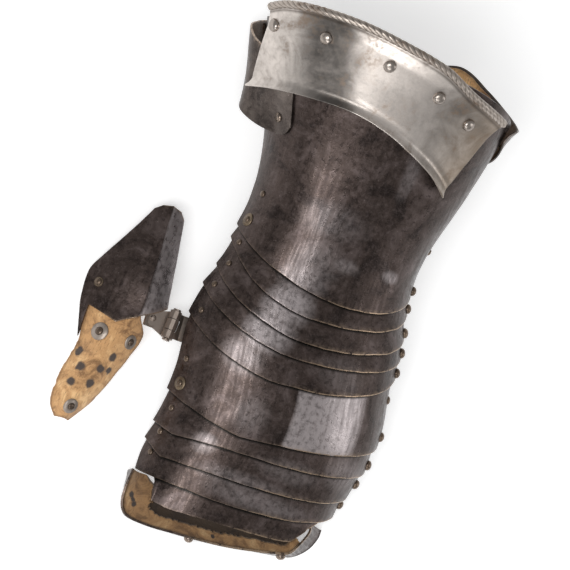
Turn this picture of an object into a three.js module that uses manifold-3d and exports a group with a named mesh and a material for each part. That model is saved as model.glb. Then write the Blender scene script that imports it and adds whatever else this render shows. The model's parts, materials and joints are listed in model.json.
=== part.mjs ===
// Left-hand mitten gauntlet of blackened iron, lying palm down as it rests by itself.
// Millimetres. Pieces are drawn in the glove's own axes: +X away from the thumb, +Y from the
// fingertips to the cuff, +Z out of the back of the hand. The whole glove is then pitched so
// that the cuff's rim and the last finger lame stand on the plane z = 0.
import * as THREE from "three";
import Module from "manifold-3d";
import { mergeVertices } from "three/addons/utils/BufferGeometryUtils.js";

const wasm = await Module();
wasm.setup();

// Driving dimensions
const PLATE = 1.0; // thickness of the iron plates
const CUFF_PLATE = 1.4; // the cuff is left heavier
const LEATHER = 1.8;
const DROP = 1.9; // how far below the glove's outer surface a lame comes out from its cover
const TUCK = 4.0; // and how far below it its hidden end lies
const CROWN_LAP = 9; // hidden overlap between lames over the back of the hand
const RIVET_LAP = 4.5; // plate left beyond a side rivet
const RIVET_LINE = 0.88; // the side rivets' place, from the crown (0) to a plate's lower edge (1)
const PITCH = THREE.MathUtils.degToRad(11); // the cuff's end is raised by this much at rest
const FLOOR_AT_FINGERS = { y: -104, z: 2.3 }; // a point of the surface that it lies on

// The glove's outer surface, one row for each station along it. A section is a rounded arch:
// mid and half place it sideways, low is the height of its widest line, crown its top and belly
// its depth below low on the palm side. power squares its shoulders, and left and right are the
// angles from the crown at which the plates end.
const SECTIONS = [
  { y: 152, mid: -1.5, half: 75, low: 10, crown: 70.5, belly: 53, power: 2.1, left: 97, right: 84 },
  { y: 138, mid: -1, half: 73, low: 10, crown: 69, belly: 50.3, power: 2.1, left: 97, right: 84 },
  { y: 120, mid: 0.5, half: 69, low: 10, crown: 63.5, belly: 47, power: 2.1, left: 97, right: 83 },
  { y: 99, mid: 3, half: 63, low: 9.5, crown: 58, belly: 43.5, power: 2.1, left: 97, right: 82 },
  { y: 78, mid: 4.5, half: 57, low: 9, crown: 54, belly: 40.5, power: 2.1, left: 96, right: 81 },
  { y: 57, mid: 4, half: 52, low: 7, crown: 50.5, belly: 40, power: 2.15, left: 92, right: 81 },
  { y: 41, mid: 2.8, half: 50.5, low: 4, crown: 48.5, belly: 40, power: 2.2, left: 88, right: 82 },
  { y: 26, mid: 1.6, half: 52, low: 1, crown: 47.5, belly: 40, power: 2.25, left: 84, right: 80 },
  { y: 10, mid: 2, half: 55, low: -2, crown: 47, belly: 40, power: 2.3, left: 80, right: 78 },
  { y: -10, mid: 1.6, half: 61, low: -4, crown: 47, belly: 40, power: 2.3, left: 77, right: 77 },
  { y: -31, mid: 2.2, half: 62.8, low: -5, crown: 47, belly: 40, power: 2.3, left: 76, right: 76 },
  { y: -52, mid: 5, half: 62.5, low: -5, crown: 46.5, belly: 40, power: 2.3, left: 76, right: 76 },
  { y: -75, mid: 5, half: 61.4, low: -6, crown: 44.5, belly: 40, power: 2.3, left: 77, right: 77 },
  { y: -94, mid: 2.7, half: 58.6, low: -7, crown: 40, belly: 40, power: 2.3, left: 80.2, right: 80.2 },
  { y: -104, mid: 1.5, half: 57.4, low: -7, crown: 37.6, belly: 40, power: 2.3, left: 80, right: 80 },
  { y: -112, mid: 0.5, half: 56.3, low: -7, crown: 35.5, belly: 40, power: 2.3, left: 76.5, right: 76.5 },
  { y: -128, mid: -3.5, half: 51.5, low: -7, crown: 31, belly: 40, power: 2.3, left: 74, right: 74 },
];

// The visible lower edges, from the thumb side over the crown to the far side
const EDGES = {
  cuff: { left: 27.5, crown: 6.7, right: 25, peak: 0.05, power: 1.6 },
  wrist_1: { left: 20.5, crown: -4.6, right: 15.7, peak: -0.09, power: 1.7 },
  wrist_2: { left: 5, crown: -17.6, right: 2.5, peak: -0.09, power: 1.5 },
  wrist_3: { left: -6.9, crown: -26.7, right: -8.3, peak: -0.13, power: 1.6 },
  wrist_4: { left: -23.2, crown: -41.8, right: -18, peak: -0.2, power: 1.6 },
  knuckle: { left: -64.8, crown: -74.7, right: -57.3, peak: -0.28, power: 1.2 },
  finger_1: { left: -88.2, crown: -82.3, right: -71.8, peak: -0.1, power: 1.5, corner: 5.2 },
  finger_2: { left: -100, crown: -97.5, right: -87.4, peak: -0.1, power: 1.5, corner: 7 },
  finger_3: { left: -110, crown: -110.6, right: -98.3, peak: -0.1, power: 1.5 },
};

const CORNER_FROM = 0.75; // where an edge turns back on the thumb side, round the next rivet

// Each lame in order from the cuff, with the edge above it, its own edge and its side rivets
const LAMES = [
  { name: "wrist_lame_1", over: "cuff", edge: "wrist_1", rivetLeft: 31.8, rivetRight: 24.9,
    washered: true },
  { name: "wrist_lame_2", over: "wrist_1", edge: "wrist_2", rivetLeft: 19.3, rivetRight: 15.3 },
  { name: "wrist_lame_3", over: "wrist_2", edge: "wrist_3", rivetLeft: 7.3, rivetRight: 2.8 },
  { name: "wrist_lame_4", over: "wrist_3", edge: "wrist_4", rivetLeft: -5.3, rivetRight: -7.6 },
  { name: "knuckle_plate", over: "wrist_4", edge: "knuckle", rivetLeft: -20.2, rivetRight: -18.3 },
  { name: "finger_lame_1", over: "knuckle", edge: "finger_1", rivetLeft: -59.8, rivetRight: -52.4,
    washered: true },
  { name: "finger_lame_2", over: "finger_1", edge: "finger_2", rivetLeft: -73.4, rivetRight: -68.6 },
  { name: "finger_lame_3", over: "finger_2", edge: "finger_3", rivetLeft: -87, rivetRight: -80.2 },
  { name: "finger_lame_4", over: "finger_3", edge: "finger_4", rivetLeft: -98.9, rivetRight: -93,
    drop: 2.4, tuck: 4.6, deeper: 1.012 },
];

// The last finger lame's edge, with its corners cut away over the fingertips
const FINGER_4 = [
  { w: -1, y: -104 },
  { w: -0.91, y: -105 },
  { w: -0.8, y: -108 },
  { w: -0.74, y: -112.3 },
  { w: -0.69, y: -122 },
  { w: -0.5, y: -123 },
  { w: -0.1, y: -121.5 },
  { w: 0.29, y: -120.3 },
  { w: 0.45, y: -118.8 },
  { w: 0.51, y: -110 },
  { w: 0.68, y: -103 },
  { w: 1, y: -101 },
];

// Columns and rows of facets
const CUFF_GRID = { columns: 20, rows: 6 };
const LAME_COLUMNS = 18;
const SHORTEST_VISIBLE = 2;
const FULL_RISE = 6; // visible breadth at which a lame's edge comes up to the surface
const CUFF_TOP = { left: 134, crown: 141, right: 119, peak: -0.2, power: 1.6 };

// Rivet heads: radius and height, and the brass washers some of them sit on
const HEAD = { radius: 2.3, height: 1.7 };
const SMALL_HEAD = { radius: 1.7, height: 1.1 };
const BAND_HEAD = { radius: 3.4, height: 2.4 };
const WASHERED = { radius: 1.9, height: 1.9, washer: 3.7 };
const WASHER_RISE = 0.6;
const RIVET_SINK = 0.5;
const RIVET_SIDES = 8;

// Rivets besides the ones that the lames turn on, as station y and w across the plate
const EXTRA_RIVETS = {
  cuff_plate: [
    { y: 47, w: -0.84, head: SMALL_HEAD },
    { y: 111.3, w: 0.93, head: SMALL_HEAD },
    { y: 46.9, w: 0.9, head: SMALL_HEAD },
  ],
  knuckle_plate: [
    { y: -33.2, w: 0.9, head: HEAD },
    { y: -46.7, w: -0.9, head: SMALL_HEAD },
  ],
};

// Steel band around the mouth of the cuff, from its lower lip to its roped edge: the places of
// both along it, and how far its end stands off over the inner plate
const BAND = { thickness: 1.0, ropeRadius: 2.2, ropeSides: 8, columns: 22 };
const BAND_LINE = [
  { part: 0, lip: 97, lipAngle: -89, rope: 139, ropeAngle: -82, off: 8.5 },
  { part: 0.12, lip: 100.5, lipAngle: -73, rope: 143.4, ropeAngle: -70, off: 3 },
  { part: 0.3, lip: 103.3, lipAngle: -50, rope: 146.6, ropeAngle: -52, off: 0 },
  { part: 0.5, lip: 103.8, lipAngle: -27, rope: 147.2, ropeAngle: -32, off: 0 },
  { part: 0.67, lip: 99.4, lipAngle: -9.5, rope: 144.4, ropeAngle: -13, off: 0 },
  { part: 0.8, lip: 92.3, lipAngle: 4.5, rope: 140, ropeAngle: 3, off: 0 },
  { part: 0.9, lip: 85.9, lipAngle: 16.3, rope: 131.3, ropeAngle: 19, off: 0 },
  { part: 1, lip: 77.5, lipAngle: 28, rope: 123, ropeAngle: 43, off: 0 },
];
const BAND_PROFILE = [
  { part: 0, out: 5.6 },
  { part: 0.06, out: 4.3 },
  { part: 0.14, out: 3.4 },
  { part: 0.78, out: 2.8 },
  { part: 0.9, out: 3.8 },
  { part: 1, out: 5.4 },
];
const BAND_RIVETS = [
  { along: 0.05, part: 0.78 },
  { along: 0.34, part: 0.73 },
  { along: 0.62, part: 0.72 },
  { along: 0.815, part: 0.73 },
  { along: 0.93, part: 0.76 },
];

// Inner plate that closes the cuff on the palm side, by angle round from the crown
const INNER_PLATE = { thickness: 1.0, foot: 1.75 };
const STAND_RISE = 0.9; // how the stand-off grows from the rim downwards
const INNER_RIM = [
  { angle: 63, top: 121.8, bottom: 114, flare: 4, stand: 1 },
  { angle: 80, top: 123, bottom: 103, flare: 3.8, stand: 1 },
  { angle: 100, top: 128, bottom: 96, flare: 3.6, stand: 0.5 },
  { angle: 118, top: 135, bottom: 92, flare: 3, stand: 0 },
  { angle: 135, top: 141.5, bottom: 91, flare: 3.6, stand: 0 },
  { angle: 150, top: 136.5, bottom: 91, flare: 3.6, stand: 0 },
  { angle: 180, top: 134, bottom: 91, flare: 3.6, stand: 0 },
  { angle: 225, top: 131.5, bottom: 91, flare: 4, stand: 3.6 },
  { angle: 243, top: 129, bottom: 90.5, flare: 5, stand: 8.2 },
  { angle: 255, top: 126.5, bottom: 88, flare: 6, stand: 11.5 },
  { angle: 264, top: 122, bottom: 83.5, flare: 4.5, stand: 12.5 },
  { angle: 272, top: 119, bottom: 80, flare: 1, stand: 7 },
  { angle: 284, top: 116, bottom: 78.8, flare: 0, stand: 0 },
  { angle: 293, top: 114, bottom: 80.5, flare: 0, stand: 0 },
  { angle: 297, top: 112, bottom: 85, flare: 0, stand: 0 },
];
const CUFF_LINING = { from: 98, to: 232, top: 0.03, bottom: 0.93, clear: 0.8 };
const LOBE_RIVET = { y: 87.3, angle: 286, head: { radius: 2.4, height: 0.4 } };

// End lame round the fingertips, as it stands on the table: its upper rim, its foot, and how far
// in the leather reaches that is left inside it
const END_WALL = [
  { x: -61, y: -110.8, z: 14.2, footX: -58, footY: -110.8, inX: -49.5, inY: -110.8, inZ: 6.5 },
  { x: -62, y: -116, z: 14.2, footX: -57.4, footY: -116, inX: -46, inY: -114, inZ: 6.5 },
  { x: -62.5, y: -121.8, z: 14, footX: -57, footY: -121.5, inX: -41, inY: -116.5, inZ: 7 },
  { x: -62.2, y: -127.6, z: 13.4, footX: -56.6, footY: -127, inX: -38, inY: -118.5, inZ: 7.5 },
  { x: -60, y: -133, z: 13, footX: -55, footY: -131.4, inX: -36.5, inY: -119.5, inZ: 8 },
  { x: -54.8, y: -136, z: 13, footX: -51, footY: -134.4, inX: -34.5, inY: -120.2, inZ: 8.3 },
  { x: -41.5, y: -136.9, z: 13, footX: -40, footY: -135.4, inX: -30, inY: -121, inZ: 9 },
  { x: -27.1, y: -136.2, z: 13, footX: -26.5, footY: -135, inX: -22, inY: -121.5, inZ: 9.5 },
  { x: -11, y: -135.4, z: 13, footX: -10.8, footY: -134.2, inX: -9, inY: -121.5, inZ: 10 },
  { x: 4.3, y: -133.9, z: 13, footX: 4.6, footY: -132.8, inX: 3, inY: -120.5, inZ: 10 },
  { x: 20, y: -131.2, z: 13, footX: 21, footY: -130.4, inX: 16, inY: -118.5, inZ: 10 },
  { x: 33, y: -128.4, z: 13, footX: 37, footY: -128.3, inX: 27, inY: -116.5, inZ: 9.5 },
  { x: 38, y: -126.2, z: 13, footX: 45, footY: -126, inX: 31, inY: -115, inZ: 9 },
  { x: 41.9, y: -119.5, z: 13.8, footX: 52, footY: -119.8, inX: 34, inY: -111.5, inZ: 9 },
  { x: 44.8, y: -112.5, z: 14, footX: 55.5, footY: -112.8 },
  { x: 44.5, y: -108, z: 12.5, footX: 56, footY: -108 },
];
const END_PLATE = 1.1;
const END_RIVETS = [
  { x: -17.5, y: -135.2, z: 8, towards: [0, -1, 0.1], head: { radius: 2.3, height: 2.4 } },
  { x: 34.6, y: -128.4, z: 8.5, towards: [0.2, -1, 0.1], head: { radius: 2.3, height: 2.4 } },
];
const END_LEATHER_INSET = 2.7; // clear of the steel
const END_LEATHER_LEAN = 0.28; // and more where the steel leans in over the fingers
const END_LEATHER_DROP = 1.1; // below the steel rim
const END_LEATHER_DISH = 2;

// Thumb plate and the leather of the thumb below it, standing on the table. Each station gives
// the outer edge, the ridge and the inner edge that carries the hinge.
const THUMB = [
  { y: 25.4, outX: -86.7, outZ: 12, ridgeX: -80.6, ridgeZ: 15.5, inX: -71.7, inZ: 12.5 },
  { y: 14, outX: -92.6, outZ: 9.3, ridgeX: -81.6, ridgeZ: 17, inX: -70.6, inZ: 13 },
  { y: 3, outX: -98.7, outZ: 6.5, ridgeX: -82.1, ridgeZ: 18.5, inX: -69.6, inZ: 13.5 },
  { y: -9, outX: -105.6, outZ: 3, ridgeX: -82.6, ridgeZ: 19.5, inX: -68.6, inZ: 14 },
  { y: -18, outX: -109.9, outZ: 0.9, ridgeX: -83, ridgeZ: 20, inX: -67.8, inZ: 14 },
  { y: -33, outX: -110.2, outZ: 0.5, ridgeX: -83.8, ridgeZ: 19.5, inX: -67, inZ: 14 },
  { y: -42, outX: -108.4, outZ: 0.5, ridgeX: -88, ridgeZ: 18.5, inX: -72, inZ: 13 },
  { y: -57, outX: -105, outZ: 0.6, ridgeX: -92, ridgeZ: 17, inX: -77, inZ: 10 },
];
const THUMB_HEM = [
  { w: -1, y: -53 },
  { w: -0.96, y: -50 },
  { w: -0.86, y: -36.1 },
  { w: -0.6, y: -38.8 },
  { w: -0.29, y: -41.7 },
  { w: -0.05, y: -37.5 },
  { w: 0.14, y: -34.9 },
  { w: 0.56, y: -31 },
  { w: 1, y: -26.5 },
];
const THUMB_TOP = [
  { w: -1, y: 22 },
  { w: -0.7, y: 24.6 },
  { w: 0, y: 25.4 },
  { w: 0.7, y: 24 },
  { w: 1, y: 20.5 },
];
const THUMB_LEATHER = [
  { y: -26, outX: -106.5, outZ: 0.6, ridgeX: -84.5, ridgeZ: 15.8, inX: -79.5, inZ: 13.7 },
  { y: -34, outX: -106.6, outZ: 0.5, ridgeX: -86.5, ridgeZ: 15.6, inX: -79.6, inZ: 12.5 },
  { y: -43, outX: -105.7, outZ: 0.4, ridgeX: -89.3, ridgeZ: 15.9, inX: -74.1, inZ: 9.5 },
  { y: -56, outX: -104.9, outZ: 0.5, ridgeX: -93.5, ridgeZ: 15, inX: -77.6, inZ: 7.5 },
  { y: -65, outX: -107.4, outZ: 0.5, ridgeX: -96.5, ridgeZ: 14, inX: -81, inZ: 6 },
  { y: -74, outX: -109.4, outZ: 0.4, ridgeX: -99.3, ridgeZ: 12.6, inX: -84.5, inZ: 4.5 },
  { y: -84, outX: -110.5, outZ: 0.4, ridgeX: -101.6, ridgeZ: 11, inX: -89, inZ: 2.5 },
  { y: -91, outX: -109.6, outZ: 0.5, ridgeX: -103, ridgeZ: 9, inX: -93.6, inZ: 1.2 },
  { y: -96.5, outX: -105.6, outZ: 0.6, ridgeX: -102.4, ridgeZ: 4.5, inX: -97.8, inZ: 0.7 },
];
const THUMB_ARCH = 1.6; // 1 would make the thumb's two sides flat
const THUMB_RIVETS = [{ y: -23.5, w: -0.8, head: { ...WASHERED, washer: 2.6 } }];
const THUMB_WASHERS = [
  { y: -48.3, w: -0.52, head: { radius: 2.2, height: 1.9, washer: 4.9 } },
  { y: -48.8, w: 0.62, head: { radius: 2, height: 1.9, washer: 4 } },
  { y: -90, w: 0.1, head: { radius: 2, height: 1.7, washer: 4.2 } },
];

// Hinge between the thumb plate and the hand: its line, its knuckles from the fingers' end as
// shares of its length, and the two leaves as x and z across it
const HINGE = {
  start: { x: -64.4, y: -41.4, z: 17 },
  end: { x: -62.8, y: -26.4, z: 17 },
  radius: 3.2,
  bore: 1.3,
  pin: 0.9,
  pinHead: 2.1,
  pinHeadLength: 0.8,
  gap: 0.35,
  sides: 10,
  knuckles: [0, 0.3, 0.7, 1],
};
const LEAF = 1.0;
const HAND_LEAF = {
  path: [[0, 19.7], [-60.8, 18.9], [-58.4, 18], [-54.8, 18.3], [-51.8, 24], [-47.6, 31]],
  far: { y: -27.4 },
  near: { y: -40.8 },
};
const THUMB_LEAF = {
  path: [[-78, 15.8], [-75, 14.8], [-72, 14.3], [0, 14.5]],
  far: { y: -28.8 },
  near: { y: -38.2 },
  rivet: [-73.7, -33.3, 14.5],
  head: { radius: 1.8, height: 1.6, washer: 4.2 },
};

const DEEPEST = 120; // larger than anything that is cut away below the table

// Blackened and bare metals, brass and leather
const FINISH = {
  blackened: { color: 0x3a3332, roughness: 0.42, metalness: 0.85 },
  band_steel: { color: 0xa8a49f, roughness: 0.34, metalness: 1 },
  inner_steel: { color: 0x57504d, roughness: 0.45, metalness: 0.9 },
  hinge_steel: { color: 0x6b5f58, roughness: 0.45, metalness: 0.9 },
  leather: { color: 0xc09a62, roughness: 0.85, metalness: 0 },
};

const radians = THREE.MathUtils.degToRad;
const mix = THREE.MathUtils.lerp;

// Slope of a table's column at one of its rows
function slopeAt(table, key, column, row) {
  const before = table[Math.max(row - 1, 0)];
  const after = table[Math.min(row + 1, table.length - 1)];
  return (after[column] - before[column]) / (after[key] - before[key]);
}

// A column's value between two rows of its table, along a smooth curve
function smooth(table, key, column, at) {
  const sense = Math.sign(table[1][key] - table[0][key]);
  let row = 0;
  while (row < table.length - 2 && sense * (at - table[row + 1][key]) > 0) row += 1;
  const [from, to] = [table[row], table[row + 1]];
  const span = to[key] - from[key];
  const t = THREE.MathUtils.clamp((at - from[key]) / span, 0, 1);
  const beyond = at - mix(from[key], to[key], t);
  const startSlope = slopeAt(table, key, column, row) * span;
  const endSlope = slopeAt(table, key, column, row + 1) * span;
  const cubic = t * t * (3 - 2 * t);
  const bend = t * (1 - t) * (startSlope * (1 - t) - endSlope * t);
  const rim = (to[column] - from[column]) / span;
  return mix(from[column], to[column], cubic) + bend + beyond * rim;
}

// The same without the curve, for outlines with corners
function straight(table, key, column, at) {
  let row = 0;
  while (row < table.length - 2 && at > table[row + 1][key]) row += 1;
  const [from, to] = [table[row], table[row + 1]];
  return mix(from[column], to[column], (at - from[key]) / (to[key] - from[key]));
}

// Turns a point of the glove's own axes into one as it stands on the table
function stand(x, y, z) {
  const lift = -FLOOR_AT_FINGERS.y * Math.sin(PITCH) - FLOOR_AT_FINGERS.z * Math.cos(PITCH);
  const point = new THREE.Vector3(x, y, z).applyAxisAngle(new THREE.Vector3(1, 0, 0), PITCH);
  point.z += lift;
  return point;
}

// A point of the glove's surface: station y, angle round from the crown in degrees, and how far
// outside the surface it lies
function skin(y, angle, out) {
  const [mid, half, low, crown, belly, power] = ["mid", "half", "low", "crown", "belly", "power"]
    .map((column) => smooth(SECTIONS, "y", column, y));
  const [sin, cos] = [Math.sin(radians(angle)), Math.cos(radians(angle))];
  const height = cos > 0 ? crown - low : belly;
  const sideways = Math.sign(sin) * Math.abs(sin) ** (2 / power);
  const upwards = Math.sign(cos) * Math.abs(cos) ** (2 / power);
  const normal = new THREE.Vector2(
    (Math.sign(sin) * Math.abs(sideways) ** (power - 1)) / half,
    (Math.sign(cos) * Math.abs(upwards) ** (power - 1)) / height,
  ).normalize().multiplyScalar(out);
  return stand(mid + half * sideways + normal.x, y, low + height * upwards + normal.y);
}

// The angle that a plate's w of -1 to 1 stands for at station y
function angleAt(y, w) {
  return w * smooth(SECTIONS, "y", w < 0 ? "left" : "right", y);
}

// Outward direction of a surface given as a function of two numbers
function normalOf(surface, a, b, step) {
  const alongA = surface(a + step, b).sub(surface(a - step, b));
  const alongB = surface(a, b + step).sub(surface(a, b - step));
  return alongA.cross(alongB).normalize();
}

// A closed sheet between two grids of points that face each other
function closedSheet(outer, inner) {
  const [rows, columns] = [outer.length, outer[0].length];
  const points = [...outer.flat(), ...inner.flat()];
  const far = rows * columns;
  const at = (row, column, side) => side * far + row * columns + column;
  const index = [];
  const quad = (a, b, c, d) => index.push(a, b, c, a, c, d);
  for (let r = 0; r < rows - 1; r += 1) {
    for (let c = 0; c < columns - 1; c += 1) {
      quad(at(r, c, 0), at(r, c + 1, 0), at(r + 1, c + 1, 0), at(r + 1, c, 0));
      quad(at(r, c, 1), at(r + 1, c, 1), at(r + 1, c + 1, 1), at(r, c + 1, 1));
    }
  }
  for (let c = 0; c < columns - 1; c += 1) {
    quad(at(0, c, 0), at(0, c, 1), at(0, c + 1, 1), at(0, c + 1, 0));
    quad(at(rows - 1, c, 0), at(rows - 1, c + 1, 0), at(rows - 1, c + 1, 1), at(rows - 1, c, 1));
  }
  for (let r = 0; r < rows - 1; r += 1) {
    quad(at(r, 0, 0), at(r + 1, 0, 0), at(r + 1, 0, 1), at(r, 0, 1));
    quad(at(r, columns - 1, 0), at(r, columns - 1, 1), at(r + 1, columns - 1, 1),
      at(r + 1, columns - 1, 0));
  }
  return solidFrom(points, index);
}

// A manifold from points and triangles, turned the right way out
function solidFrom(points, index) {
  const triangles = [];
  for (let i = 0; i < index.length; i += 3) triangles.push(index.slice(i, i + 3));
  const volume = triangles.reduce(
    (sum, [a, b, c]) => sum + points[a].dot(points[b].clone().cross(points[c])), 0);
  if (volume < 0) triangles.forEach((triangle) => triangle.reverse());
  return new wasm.Manifold(new wasm.Mesh({
    numProp: 3,
    vertProperties: new Float32Array(points.flatMap((p) => p.toArray())),
    triVerts: new Uint32Array(triangles.flat()),
  }));
}

// The same from one of the ready-made geometries, welded first
function solidOf(geometry) {
  geometry.deleteAttribute("normal");
  geometry.deleteAttribute("uv");
  const welded = mergeVertices(geometry);
  const place = welded.getAttribute("position");
  const points = [];
  for (let i = 0; i < place.count; i += 1) {
    points.push(new THREE.Vector3().fromBufferAttribute(place, i));
  }
  const index = [];
  const corners = Array.from(welded.index.array);
  for (let i = 0; i < corners.length; i += 3) {
    const [a, b, c] = corners.slice(i, i + 3);
    if (a !== b && b !== c && c !== a) index.push(a, b, c);
  }
  return solidFrom(points, index);
}

// Evenly spaced numbers from 0 to 1
function steps(count) {
  return Array.from({ length: count + 1 }, (_, i) => i / count);
}

// A sheet on the glove's surface, from a function of two numbers to station, angle and offset
function skinSheet(rows, columns, thickness, place) {
  const side = (depth) => rows.map((v) => columns.map((u) => {
    const { y, angle, out } = place(u, v);
    return skin(y, angle, out - depth);
  }));
  return closedSheet(side(0), side(thickness));
}

// A sheet of even thickness inside any surface given as a function of two numbers
function freeSheet(rows, columns, thickness, surface) {
  const step = 0.002;
  const outer = rows.map((v) => columns.map((u) => surface(u, v)));
  const inner = rows.map((v, r) => columns.map((u, c) => {
    const inwards = normalOf(surface, THREE.MathUtils.clamp(u, step, 1 - step),
      THREE.MathUtils.clamp(v, step, 1 - step), step);
    return outer[r][c].clone().addScaledVector(inwards, thickness);
  }));
  return closedSheet(outer, inner);
}

// A rivet head standing on a point, with its washer where it has one
function rivet(at, normal, { radius, height, washer = 0 }) {
  const lift = washer ? WASHER_RISE : 0;
  const profile = [[0, -RIVET_SINK]];
  if (washer) {
    profile.push([washer, -RIVET_SINK], [washer, WASHER_RISE]);
  } else {
    profile.push([radius, -RIVET_SINK]);
  }
  profile.push([radius, lift + (washer ? 0 : 0.25 * height)]);
  profile.push([0.62 * radius, 0.85 * height], [0, height]);
  const shape = new THREE.LatheGeometry(profile.map(([r, z]) => new THREE.Vector2(r, z)),
    RIVET_SIDES);
  const turn = new THREE.Quaternion().setFromUnitVectors(new THREE.Vector3(0, 1, 0), normal);
  shape.applyQuaternion(turn);
  shape.translate(at.x, at.y, at.z);
  return solidOf(shape);
}

// Rivets by station and w across a plate that lies out from the surface by outAt
function skinRivets(body, rivets, outAt) {
  const surface = (w, y) => skin(y, angleAt(y, w), outAt(w, y));
  return rivets.reduce((solid, { y, w, head }) => {
    const normal = normalOf(surface, w, y, 0.01);
    return solid.add(rivet(surface(w, y), normal, head));
  }, body);
}

// Station of a visible edge at w across the plate
function edgeAt(edge, w) {
  const [side, span] = w < edge.peak ? [edge.left, 1 + edge.peak] : [edge.right, 1 - edge.peak];
  const cut = (edge.corner ?? 0) * Math.max(0, (-w - CORNER_FROM) / (1 - CORNER_FROM));
  return edge.crown + (side - edge.crown) * (Math.abs(w - edge.peak) / span) ** edge.power + cut;
}

// Station of a lame's hidden end: a lap behind the plate above, and around the side rivets
function hiddenAt(lame, w) {
  const above = EDGES[lame.over];
  const crown = above.crown + CROWN_LAP;
  const [side, rivetY, span] = w < above.peak
    ? [-1, lame.rivetLeft, 1 + above.peak]
    : [1, lame.rivetRight, 1 - above.peak];
  const rivetReach = (RIVET_LINE - side * above.peak) / span;
  const slope = (rivetY + RIVET_LAP - crown) / rivetReach ** above.power;
  return crown + slope * (Math.abs(w - above.peak) / span) ** above.power;
}

// A lame's stations at w across it: hidden end, edge of the plate above, its bend and its own edge
function lameLine(spec, w) {
  const end = spec.edge === "finger_4"
    ? straight(FINGER_4, "w", "y", w)
    : edgeAt(EDGES[spec.edge], w);
  const cover = edgeAt(EDGES[spec.over], w);
  return { hidden: hiddenAt(spec, w), cover, bend: Math.max(cover, end + SHORTEST_VISIBLE), end };
}

// How far a lame lies out from the surface: it starts deep behind the plate above and rises to
// the surface at its own edge, but for corners that stay behind the plate above
function lameOut(spec, w, y) {
  const { drop = DROP, tuck = TUCK } = spec;
  const { hidden, cover, bend, end } = lameLine(spec, w);
  if (y > cover) return -drop - ((tuck - drop) * (y - cover)) / (hidden - cover);
  const rise = THREE.MathUtils.clamp((cover - end) / FULL_RISE, 0, 1) * (bend - y);
  return -drop * (1 - rise / (bend - end));
}

function lame(spec, columns, visibleRows) {
  return skinSheet([-1, ...steps(visibleRows)], columns, PLATE, (u, v) => {
    const w = 2 * u - 1;
    const { hidden, bend, end } = lameLine(spec, w);
    const y = v < 0 ? mix(bend, hidden, -v) : mix(bend, end, v);
    return { y, angle: (spec.deeper ?? 1) * angleAt(y, w), out: lameOut(spec, w, y) };
  });
}

// A round bar along a line of points
function bar(spots, radius, sides) {
  return closedTube(spots.map((spot, i) => {
    const before = spots[Math.max(i - 1, 0)];
    const after = spots[Math.min(i + 1, spots.length - 1)];
    const forward = after.clone().sub(before).normalize();
    const side = new THREE.Vector3(0, 1, 0).cross(forward).normalize();
    const up = forward.clone().cross(side);
    return steps(sides).slice(0, -1).map((part) => spot.clone()
      .addScaledVector(side, radius * Math.cos(2 * Math.PI * part))
      .addScaledVector(up, radius * Math.sin(2 * Math.PI * part)));
  }));
}

// A solid through rings of points, capped flat at both ends
function closedTube(rings) {
  const sides = rings[0].length;
  const index = [];
  for (let r = 0; r < rings.length - 1; r += 1) {
    for (let s = 0; s < sides; s += 1) {
      const [a, b] = [r * sides + s, r * sides + ((s + 1) % sides)];
      index.push(a, b, b + sides, a, b + sides, a + sides);
    }
  }
  const last = (rings.length - 1) * sides;
  for (let s = 1; s < sides - 1; s += 1) {
    index.push(0, s + 1, s);
    index.push(last, last + s, last + s + 1);
  }
  return solidFrom(rings.flat(), index);
}

const nodes = [];
const addNode = (name, solid, finish) => nodes.push({ name, solid, finish });

// The table's top, to cut flats where pieces rest on it
const belowTable = solidOf(new THREE.BoxGeometry(6 * DEEPEST, 6 * DEEPEST, DEEPEST)
  .translate(0, 0, -DEEPEST / 2));

// Cuff plate
const cuff = skinSheet(steps(CUFF_GRID.rows), steps(CUFF_GRID.columns), CUFF_PLATE, (u, v) => {
  const w = 2 * u - 1;
  const y = mix(edgeAt(CUFF_TOP, w), edgeAt(EDGES.cuff, w), v);
  return { y, angle: angleAt(y, w), out: 0 };
});
const pivotRivets = (spec) => [
  { y: spec.rivetLeft, w: -RIVET_LINE, head: spec.washered ? WASHERED : SMALL_HEAD },
  { y: spec.rivetRight, w: RIVET_LINE, head: HEAD },
];
addNode("cuff_plate",
  skinRivets(cuff, [...pivotRivets(LAMES[0]), ...EXTRA_RIVETS.cuff_plate], () => 0),
  "blackened");

// The last lame's columns fall on the corners of its edge
const cornerColumns = [...FINGER_4.map(({ w }) => w), -0.3, 0.1, 0.84]
  .map((w) => (w + 1) / 2)
  .sort((a, b) => a - b);

// Lames of the wrist, knuckle plate and finger lames, each with the rivets the next one turns on
LAMES.forEach((spec, i) => {
  const next = LAMES[i + 1];
  const columns = spec.edge === "finger_4" ? cornerColumns : steps(LAME_COLUMNS);
  const heads = [...(next ? pivotRivets(next) : []), ...(EXTRA_RIVETS[spec.name] ?? [])];
  const plate = lame(spec, columns, spec.name === "knuckle_plate" ? 3 : 2);
  const standing = spec.edge === "finger_4" ? plate.subtract(belowTable) : plate;
  addNode(spec.name, skinRivets(standing, heads, (w, y) => lameOut(spec, w, y)), "blackened");
});

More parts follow.
